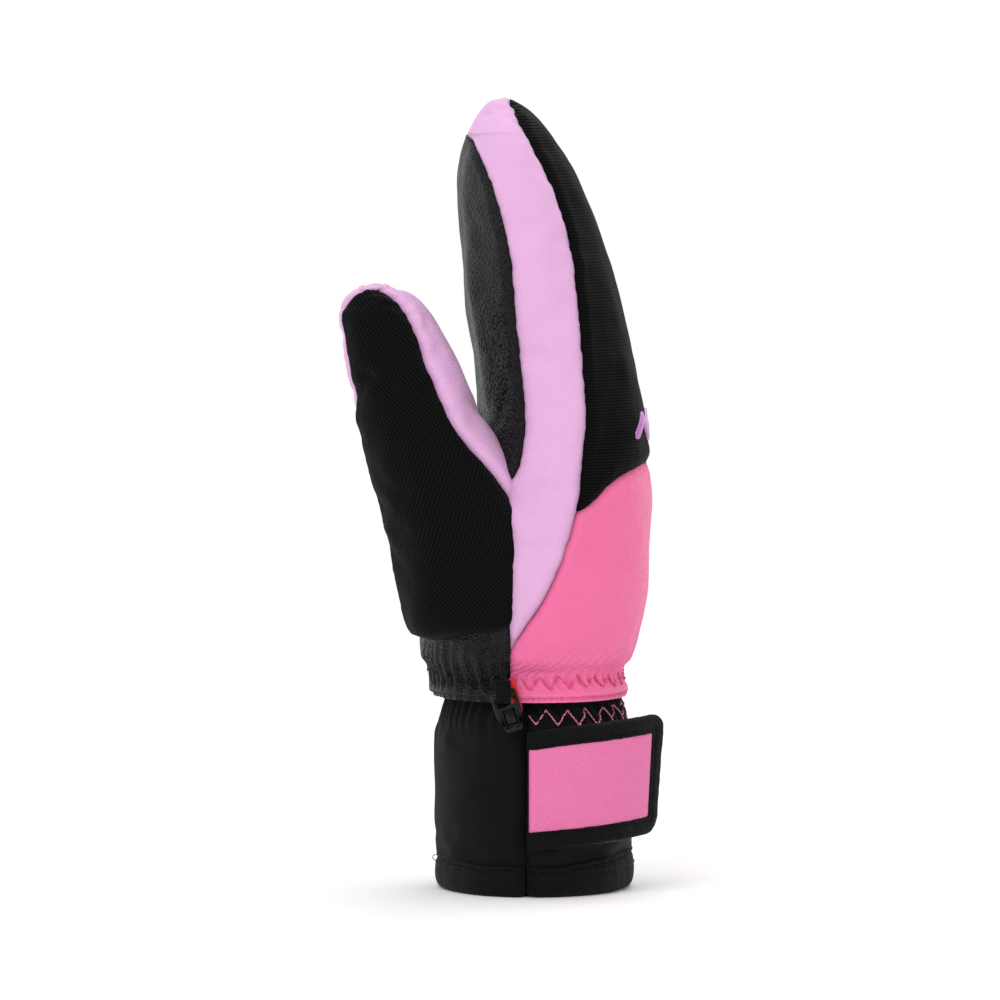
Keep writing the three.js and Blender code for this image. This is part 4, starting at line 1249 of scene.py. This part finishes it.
def strap_layer(name, material, inset, depth, thickness, crown, corner, start, stop, seed):
    """One flat layer of the strap, from start to stop along it, that swells by crown in its middle."""
    rows, columns = 60, 90
    v, u = np.meshgrid(np.linspace(-1, 1, rows), np.linspace(0, 1, columns), indexing="ij")
    along = start + (stop - start) * u
    half = STRAP_HALF_HEIGHT - inset
    to_end = np.minimum(stop - along, corner)
    cut = corner - np.sqrt(np.maximum(corner**2 - (corner - to_end) ** 2, 0))
    height = v * (half - cut)
    edge = np.minimum(np.minimum(along - start, stop - along), half - cut - np.abs(height))
    raised = crown * smooth(0, 3.5, edge) + 0.35 * smooth(0, 0.5, edge)
    flat = np.stack([along, height], -1)
    base = strap_place(flat, depth)
    ripple_in = 0.15 * ripple(base, 8, 160 + seed) * smooth(0, 3, edge)
    top = strap_place(flat, depth - raised - ripple_in)
    bottom = strap_place(flat, depth + thickness)
    points = np.concatenate([top, bottom[::-1]])
    uv = np.concatenate([flat, flat[::-1]])
    # Painted shade along the layer's edges, where it tucks under the binding.
    painted_shade = np.exp(-((edge / 0.5) ** 2))
    return panel_piece(name, material, points, uv, np.concatenate([painted_shade, painted_shade[::-1]]))


PATCH_INSET = BINDING_WIDTH - 0.3
strap_back = strap_layer(
    "strap_backing_cloth", TWILL, inset=1.0, depth=-0.3, thickness=0.8, crown=0.1, corner=4.0,
    start=0.0, stop=STRAP_LENGTH - 1.0, seed=1,
)
strap_binding = strap_tape()
strap_patch = strap_layer(
    "strap_pink_patch", STRAP_PINK, inset=PATCH_INSET, depth=-0.8, thickness=0.2, crown=0.3, corner=1.4,
    start=0.6, stop=STRAP_LENGTH - PATCH_INSET, seed=2,
)
strap_hooks = strap_layer(
    "strap_hook_patch", HOOKS, inset=BINDING_WIDTH + 0.8, depth=1.2, thickness=0.8, crown=-0.3, corner=2.0,
    start=22, stop=44.5, seed=3,
)
for piece, node in (
    (strap_back, "strap_backing"),
    (strap_binding, "strap_binding"),
    (strap_patch, "strap_face"),
    (strap_hooks, "strap_hook_tape"),
):
    finish_piece(piece, "strap", (node,))

# ---- Clip, its webbing, the side tab and the emblem ----

CLIP_AXIS = np.array([1.2, -38.2, 61.2]) + OFFSET
CLIP_LEAN = math.radians(18)
CLIP_HALF_WIDTH, CLIP_LENGTH, CLIP_THICKNESS = 4.0, 11.4, 3.0


def on_clip(points):
    """Points in the clip's own plane (x across, y through, z up) to the row frame."""
    points = np.asarray(points, float)
    x, y, z = points[..., 0], points[..., 1], points[..., 2]
    cos, sin = math.cos(CLIP_LEAN), math.sin(CLIP_LEAN)
    return np.stack([x * cos - z * sin, y, x * sin + z * cos], -1) + CLIP_AXIS


ARC_STEPS = 7


def arc_points(centre, radius, from_turn, to_turn):
    turns = np.radians(np.linspace(from_turn, to_turn, ARC_STEPS))
    return [(centre[0] + radius * math.cos(a), centre[1] + radius * math.sin(a)) for a in turns]


def rounded_plate(name, outline, thickness, windows=(), lift=0.0, bevel=0.42):
    """A flat moulding with windows and rounded edges, in the clip's plane."""
    curve = bpy.data.curves.new(name, "CURVE")
    curve.dimensions = "2D"
    curve.fill_mode = "BOTH"
    curve.extrude = thickness / 2 - bevel
    curve.bevel_depth = bevel
    curve.bevel_resolution = 2
    curve.offset = -bevel
    for ring in [outline, *windows]:
        line = curve.splines.new("POLY")
        line.points.add(len(ring) - 1)
        line.points.foreach_set("co", [value for x, z in ring for value in (x, z, 0, 1)])
        line.use_cyclic_u = True
    drawn = bpy.data.objects.new(name, curve)
    bpy.context.scene.collection.objects.link(drawn)
    filled = drawn.evaluated_get(bpy.context.evaluated_depsgraph_get()).to_mesh()
    points = [on_clip((v.co.x, lift + v.co.z, v.co.y)) for v in filled.vertices]
    faces = [tuple(face.vertices) for face in filled.polygons]
    bpy.data.objects.remove(drawn)
    return weld(new_object(name, points, faces, CLIP_BLACK))


def merge(name, objects):
    """Several meshes of one material as one object."""
    mesh = bmesh.new()
    for obj in objects:
        mesh.from_mesh(obj.data)
    data = bpy.data.meshes.new(name)
    mesh.to_mesh(data)
    mesh.free()
    data.materials.append(objects[0].data.materials[0])
    for obj in objects:
        bpy.data.objects.remove(obj)
    obj = bpy.data.objects.new(name, data)
    bpy.context.scene.collection.objects.link(obj)
    return obj


def rectangle(x0, x1, z0, z1):
    return [(x0, z0), (x1, z0), (x1, z1), (x0, z1)]


def clip_outline():
    """Square shoulders at the top, tapering to a rounded nose."""
    shoulder = arc_points((CLIP_HALF_WIDTH - 1, 0.2), 1, 90, 0)
    nose = arc_points((1.5, 1.2 - CLIP_LENGTH), 1.2, 0, -90)
    half = shoulder + [(CLIP_HALF_WIDTH, -6.2), (2.7, -8.6)] + nose
    return half + [(-x, z) for x, z in half[::-1]]


TAPE_SLOT, TONGUE_WINDOW = rectangle(-3.0, 3.0, -3.3, -1.1), rectangle(-1.9, 1.9, -9.4, -4.4)
clip_body = merge("clip_moulding", [
    rounded_plate("clip_plate", clip_outline(), 2.0, [TAPE_SLOT, TONGUE_WINDOW]),
    rounded_plate("clip_rail_left", rectangle(-3.9, -2.7, -6.6, -0.6), CLIP_THICKNESS),
    rounded_plate("clip_rail_right", rectangle(2.7, 3.9, -6.6, -0.6), CLIP_THICKNESS),
    rounded_plate("clip_nose", rectangle(-1.8, 1.8, -11.1, -9.9), CLIP_THICKNESS - 0.2, bevel=0.6),
])
clip_spring = merge("clip_spring_tongue", [
    rounded_plate("tongue_blade", rectangle(-1.4, 1.4, -8.9, -4.5), 0.9, lift=0.2, bevel=0.3),
    rounded_plate("tongue_rib", rectangle(-0.5, 0.5, -8.5, -5.4), 1.3, lift=0.1, bevel=0.35),
])
finish_piece(clip_body, "clip", ("clip_frame",))
finish_piece(clip_spring, "clip_tongue", ("clip_tongue",))

TAPE_WIDTH, TAPE_INSIDE, TAPE_THICKNESS, TAPE_RISE = 4.6, 1.9, 0.6, 2.0


def webbing_loop():
    """A flat tape folded round the clip's top bar, its two ends running up into the seam."""
    turns = np.radians(np.concatenate([np.linspace(180, 360, 40), np.linspace(360, 540, 40)]))
    lift = np.where(turns > 2 * math.pi + 1e-6, TAPE_RISE, 0.0)
    section = np.array([
        (-0.5, 0.0), (-0.47, 0.35), (-0.4, 0.5), (0.4, 0.5), (0.47, 0.35), (0.5, 0.0),
        (0.47, -0.35), (0.4, -0.5), (-0.4, -0.5), (-0.47, -0.35), (-0.5, 0.0),
    ])
    radius = TAPE_INSIDE + TAPE_THICKNESS / 2 + section[:, 1] * TAPE_THICKNESS
    path = np.concatenate([turns, turns[:1]])
    rise = np.concatenate([lift, lift[:1]])
    x = section[:, 0] * TAPE_WIDTH
    y = radius[None] * np.cos(path)[:, None]
    z = radius[None] * np.sin(path)[:, None] + rise[:, None]
    points = np.stack([np.broadcast_to(x, y.shape), y, z], -1) + CLIP_AXIS
    uv = np.stack([np.broadcast_to(x, y.shape), lengths(points, 0)], -1)
    return panel_piece("clip_webbing", WEBBING, points, uv)


finish_piece(webbing_loop(), "hand", ("clip_tape",))

# The tab's path runs down from the seam, round its lower fold and back up.
TAB_TOP = np.array([3.2, -37.2, 66.0]) + OFFSET
TAB_FOLD = np.array([6.0, -38.4, 56.0]) + OFFSET
TAB_WIDTH = 2.6
TAB_SIDE, TAB_FACE = np.array([0.72, 0.2, 0.28]), np.array([0.15, 1.0, 0.0])  # across it, and off its face


def side_ribbon():
    """A folded ribbon that hangs from the side seam, turned so that its edge shows."""
    s, w = np.meshgrid(np.linspace(0, 2, 70), np.linspace(-0.5, 0.5, 12), indexing="ij")
    down = 1 - np.abs(s - 1)
    path = TAB_TOP + (TAB_FOLD - TAB_TOP) * down[..., None]
    apart = 0.55 * np.sqrt(np.maximum(1 - down**6, 0)) * np.sign(s - 1)
    side = TAB_SIDE / np.linalg.norm(TAB_SIDE)
    face = TAB_FACE / np.linalg.norm(TAB_FACE)
    curl = 0.35 * np.sin(down * 2.4) + 0.25 * w
    points = path + side * (w * TAB_WIDTH * (1 - 0.15 * down))[..., None] + face * (apart + curl)[..., None]
    uv = np.stack([w * TAB_WIDTH, down * 11], -1)
    return panel_piece("side_tab_ribbon", TAB_RED, points, uv)


finish_piece(side_ribbon(), "hand", ("side_tab",))

# ---- Threads: every stitch is its own short bowed thread, laid on the cloth under it ----

def skin(*objects):
    """A surface to lay threads on, in metres."""
    verts, faces = [], []
    for obj in objects:
        start = len(verts)
        verts += [v.co.copy() for v in obj.data.vertices]
        faces += [tuple(start + i for i in p.vertices) for p in obj.data.polygons]
    return BVHTree.FromPolygons(verts, faces)


def laid(surface, outside, toward):
    """Where the line from a point outside toward another meets the cloth: (point, outward direction)."""
    outside, toward = Vector(outside) * MM, Vector(toward) * MM
    direction = (toward - outside).normalized()
    place, normal, _, _ = surface.ray_cast(outside, direction, (toward - outside).length)
    if place is None:
        return None
    normal = normal if normal.dot(direction) < 0 else -normal
    return np.array(place) / MM, np.array(normal)


THREAD_SIDES = 6


def tube(points, radius):
    """Points, uvs, painted shade (none) and faces of a round thread through points, closed at both ends."""
    sides = THREAD_SIDES
    points = np.asarray(points, float)
    along = np.gradient(points, axis=0)
    along /= np.linalg.norm(along, axis=1, keepdims=True)
    helper = np.where(np.abs(along[:, 2:]) < 0.9, [[0, 0, 1.0]], [[1.0, 0, 0]])
    side = np.cross(along, helper)
    side /= np.linalg.norm(side, axis=1, keepdims=True)
    up = np.cross(side, along)
    thick = np.full(len(points), radius)
    thick[0] = thick[-1] = radius * 0.35
    turns = np.arange(sides) / sides * 2 * math.pi
    ring = side[:, None] * np.cos(turns)[None, :, None] + up[:, None] * np.sin(turns)[None, :, None]
    verts = (points[:, None] + ring * thick[:, None, None]).reshape(-1, 3)
    last = len(points) - 1
    faces = grid_faces(len(points), sides, wrap=True)
    faces += [tuple(range(sides))[::-1], tuple(last * sides + i for i in range(sides))]
    length = np.linalg.norm(points[-1] - points[0])
    uv = np.meshgrid(np.linspace(0, length, len(points)), turns * radius, indexing="ij")
    return verts, np.stack(uv, -1).reshape(-1, 2), np.zeros(len(verts)), faces


def stitch(a, b, radius, bow):
    """One thread from a to b, each a (point, outward direction), dipping into the cloth at both ends."""
    (start, up_a), (end, up_b) = a, b
    f = np.linspace(0, 1, 7)[:, None]
    lift = (-0.6 * radius + (bow + 1.1 * radius) * np.sin(np.linspace(0, math.pi, 7)) ** 0.7)[:, None]
    return tube(start + (end - start) * f + (up_a * (1 - f) + up_b * f) * lift, radius)


def sew(name, material, surface, outline, radius, bow, pitch, gap, body):
    """Lays stitches of one pitch along a line. outline is a list of (outside point, point to aim at)."""
    outside, aim = (np.array([pair[k] for pair in outline]) for k in (0, 1))
    run = np.concatenate([[0], np.cumsum(np.linalg.norm(np.diff(outside, axis=0), axis=1))])
    parts = []
    for start in np.arange(0, run[-1] - pitch / 2, pitch):
        ends = []
        for place in (start + gap / 2, start + pitch - gap / 2):
            pair = [[np.interp(place, run, points[:, k]) for k in range(3)] for points in (outside, aim)]
            ends.append(laid(surface, *pair))
        if None not in ends:
            parts.append(stitch(*ends, radius, bow))
    return finish_piece(join_parts(name, material, parts), body)


def zigzag(z_low, z_high, turns, half_pitch, legs=3):
    """A line round the wrist that runs up and down, as (turn, height) at every needle hole."""
    places = []
    count = round(math.radians(turns[1] - turns[0]) * 32 / half_pitch)
    corners = np.radians(np.linspace(*turns, count + 1))
    rng = np.random.default_rng(7)
    z = np.where(np.arange(len(corners)) % 2, z_low, z_high) + rng.uniform(-0.35, 0.35, len(corners))
    for k in range(len(corners) - 1):
        for leg in range(legs):
            f = leg / legs
            places.append((corners[k] + (corners[k + 1] - corners[k]) * f, z[k] + (z[k + 1] - z[k]) * f))
    return places


def round_wrist(places, reach=20.0):
    """For each (turn, height), a point outside the cuff and the point inside it to aim at."""
    pairs = []
    for turn, z in places:
        z, turn = np.array(float(z)), np.array(float(turn))
        pairs.append((on_cuff(z, turn, -reach), on_cuff(z, turn, 8.0)))
    return pairs


def sew_holes(name, material, surface, pairs, radius, bow, shrink=0.92):
    """One stitch between each needle hole and the next."""
    holes = [laid(surface, *pair) for pair in pairs]
    parts = []
    for a, b in zip(holes, holes[1:]):
        if a is None or b is None:
            continue
        (p, n), (q, m) = a, b
        middle = (p + q) / 2
        ends = (middle + (p - middle) * shrink, n), (middle + (q - middle) * shrink, m)
        parts.append(stitch(*ends, radius, bow))
    return finish_piece(join_parts(name, material, parts), "hand")


def straight_row(z, step, turns):
    """Needle holes at one height, between two turns in degrees, step radians apart."""
    return [(turn, z) for turn in np.arange(math.radians(turns[0]), math.radians(turns[1]), step)]


pink_skin, palm_skin = skin(lower), skin(palm)
hem_row = (59.9, 1.9 / 34)  # height and step
for name, thread_colour, cloth, row, radius, bow, shrink in (
    ("hem_zigzag", THREAD_PINK, pink_skin, zigzag(62.3, 66.4, (-104, 104), 3.3), 0.25, 0.22, 0.92),
    ("hem_zigzag_palm", THREAD_BLACK, palm_skin, zigzag(62.3, 66.4, (97, 263), 3.3), 0.17, 0.1, 0.92),
    ("hem_stitch_row", THREAD_PINK, pink_skin, straight_row(*hem_row, (-104, 104)), 0.22, 0.18, 0.8),
    ("hem_stitch_row_palm", THREAD_BLACK, palm_skin, straight_row(*hem_row, (96, 264)), 0.17, 0.1, 0.92),
    ("cuff_zigzag", THREAD_HOT_PINK, skin(cuff_back), zigzag(51.4, 56.2, (-95, 95), 3.8, 5), 0.27, 0.16, 1.0),
):
    sew_holes(name, thread_colour, cloth, round_wrist(row), radius, bow, shrink)
hem_skin = skin(hem_palm, hem_back)
for part, (from_turn, to_turn) in CUFF_PARTS.items():
    row = straight_row(HEM_STITCH_ROW, 2.6 / 32, (from_turn + 1.5, to_turn - 1.5))
    sew_holes(f"hem_tape_stitches_{part}", THREAD_BLACK, hem_skin, round_wrist(row, 10), 0.16, 0.1)

seam_line = [(strap_place(p, -6.0), strap_place(p, 3.0)) for p in strap_outline(BINDING_SEAM)]
strap_skin = skin(strap_binding)
sew("strap_stitches", THREAD_BLACK, strap_skin, seam_line, 0.15, 0.08, pitch=2.3, gap=0.25, body="strap")


def emblem_ridge():
    """A raised zigzag ridge across the back of the hand."""
    peaks, height, row, spread = 3, 0.36, 6.0, 34
    u = np.linspace(0, 1, 121)
    phase = np.abs((u * peaks * 2) % 2 - 1)
    cloth = skin(upper)
    t, turn = row + height * (0.5 - phase), np.radians(spread * (1 - 2 * u))
    aims = zip(HAND.at(t, turn, -12.0), HAND.at(t, turn, 6.0))
    found = [hit for hit in (laid(cloth, *aim) for aim in aims) if hit is not None]
    line, up = (np.array([hit[k] for hit in found]) for k in (0, 1))
    along = np.gradient(line, axis=0)
    along /= np.linalg.norm(along, axis=1, keepdims=True)
    side = np.cross(along, up)
    section = [(-1.5, -0.4), (-1.45, 0.35), (-1.1, 0.75), (0, 0.85), (1.1, 0.75), (1.45, 0.35), (1.5, -0.4)]
    section = through(section, np.linspace(0, len(section) - 1, 17))
    steps = np.arange(len(line))
    taper = np.minimum(1, np.minimum(steps, steps[::-1]) / 3 + 0.25)[:, None]
    points = np.stack([line + side * w * taper + up * h * taper for w, h in section], axis=1)
    uv = np.stack([lengths(points, 1), lengths(points, 0)], -1)
    return panel_piece("emblem_ridge", EMBLEM, points, uv)


finish_piece(emblem_ridge(), "hand", ("emblem",))


def stray_thread():
    """A loop of cut thread at the end of the palm panel's hem tape."""
    start = on_cuff(np.array(8.6), np.array(math.radians(176)), 0.2)
    turns = 2 * math.pi * np.linspace(0, 1, 30)[:, None]
    x, y, z = -0.9 * np.sin(turns * 0.9), 0.4 * np.sin(turns), 0.8 * (1 - np.cos(turns * 0.9)) - 0.4
    loop = np.concatenate([x, y, z], 1)
    return join_parts("stray_thread", THREAD_BLACK, [tube(start + loop, 0.14)])


finish_piece(stray_thread(), "hand")

# ---- Stage and camera ----

# In metres, degrees and watts.
FLOOR_SIZE = 1.1
ROOM_FRONT, ROOM_BACK = 0.5, 1.0  # brightness of the room
CAMERA_DISTANCE, CAMERA_RISE = 2.6, 3.5
VIEW_WIDTH = 0.3  # what the picture spans at the mitten
SENSOR = 36  # mm
LAMPS = (  # name, place, width, power
    ("key", (-0.7, -1.3, 1.1), 1.2, 12.6),
    ("fill", (1.2, -1.0, 0.7), 1.2, 2.8),
    ("back", (0.5, 1.0, 1.5), 1.0, 6.5),
    ("overhead", (0.0, -0.2, 1.7), 1.2, 5),
)


def light_room(tree):
    """A white room, darker on the side that the front lamps stand on."""
    direction = tree.nodes.new("ShaderNodeTexCoord")
    split = tree.nodes.new("ShaderNodeSeparateXYZ")
    tree.links.new(direction.outputs["Generated"], split.inputs["Vector"])
    strength = tree.nodes.new("ShaderNodeMapRange")
    strength.interpolation_type = "SMOOTHSTEP"
    limits = {"From Min": -0.6, "From Max": 0.5, "To Min": ROOM_FRONT, "To Max": ROOM_BACK}
    for name, value in limits.items():
        strength.inputs[name].default_value = value
    tree.links.new(split.outputs["Y"], strength.inputs["Value"])
    tree.links.new(strength.outputs["Result"], tree.nodes["Background"].inputs["Strength"])
    tree.nodes["Background"].inputs["Color"].default_value = (1, 1, 1, 1)


def place_in_scene(name, data):
    obj = bpy.data.objects.new(name, data)
    bpy.context.scene.collection.objects.link(obj)
    return obj


def lay_floor():
    shader = Shader("floor_paper", 0.9, None)
    shader.surface.inputs["Base Color"].default_value = (0.95, 0.95, 0.95, 1)
    mesh = bpy.data.meshes.new("floor")
    corners = [(x * FLOOR_SIZE, y * FLOOR_SIZE, 0) for x, y in rectangle(-1, 1, -1, 1)]
    mesh.from_pydata(corners, [], [(0, 1, 2, 3)])
    mesh.materials.append(shader.material)
    place_in_scene("floor", mesh)


def set_camera(middle):
    """Looks at the mitten from the front, a little above."""
    aim = middle + Vector((0.0, -0.015, -0.0018))
    rise = math.radians(CAMERA_RISE)
    data = bpy.data.cameras.new("camera")
    data.sensor_width = SENSOR
    data.lens = SENSOR * CAMERA_DISTANCE / VIEW_WIDTH
    data.clip_end = 20
    camera = place_in_scene("camera", data)
    camera.location = aim + CAMERA_DISTANCE * Vector((0, -math.cos(rise), math.sin(rise)))
    camera.rotation_euler = (math.pi / 2 - rise, 0, 0)
    bpy.context.scene.camera = camera


def set_lamps(middle):
    for name, place, width, power in LAMPS:
        data = bpy.data.lights.new(name, "AREA")
        data.shape, data.size, data.energy = "SQUARE", width, power
        lamp = place_in_scene(name, data)
        lamp.location = place
        lamp.rotation_euler = (middle - Vector(place)).to_track_quat("-Z", "Y").to_euler()


low, high = (Vector(corner) for corner in cad_box)
middle = Vector(((low.x + high.x) / 2, (low.y + high.y) / 2, (low.z + high.z) / 2))
lay_floor()
set_camera(middle)
set_lamps(middle)
world = bpy.data.worlds.new("studio")
world.use_nodes = True
light_room(world.node_tree)
bpy.context.scene.world = world
bpy.context.scene.view_settings.view_transform = "Standard"
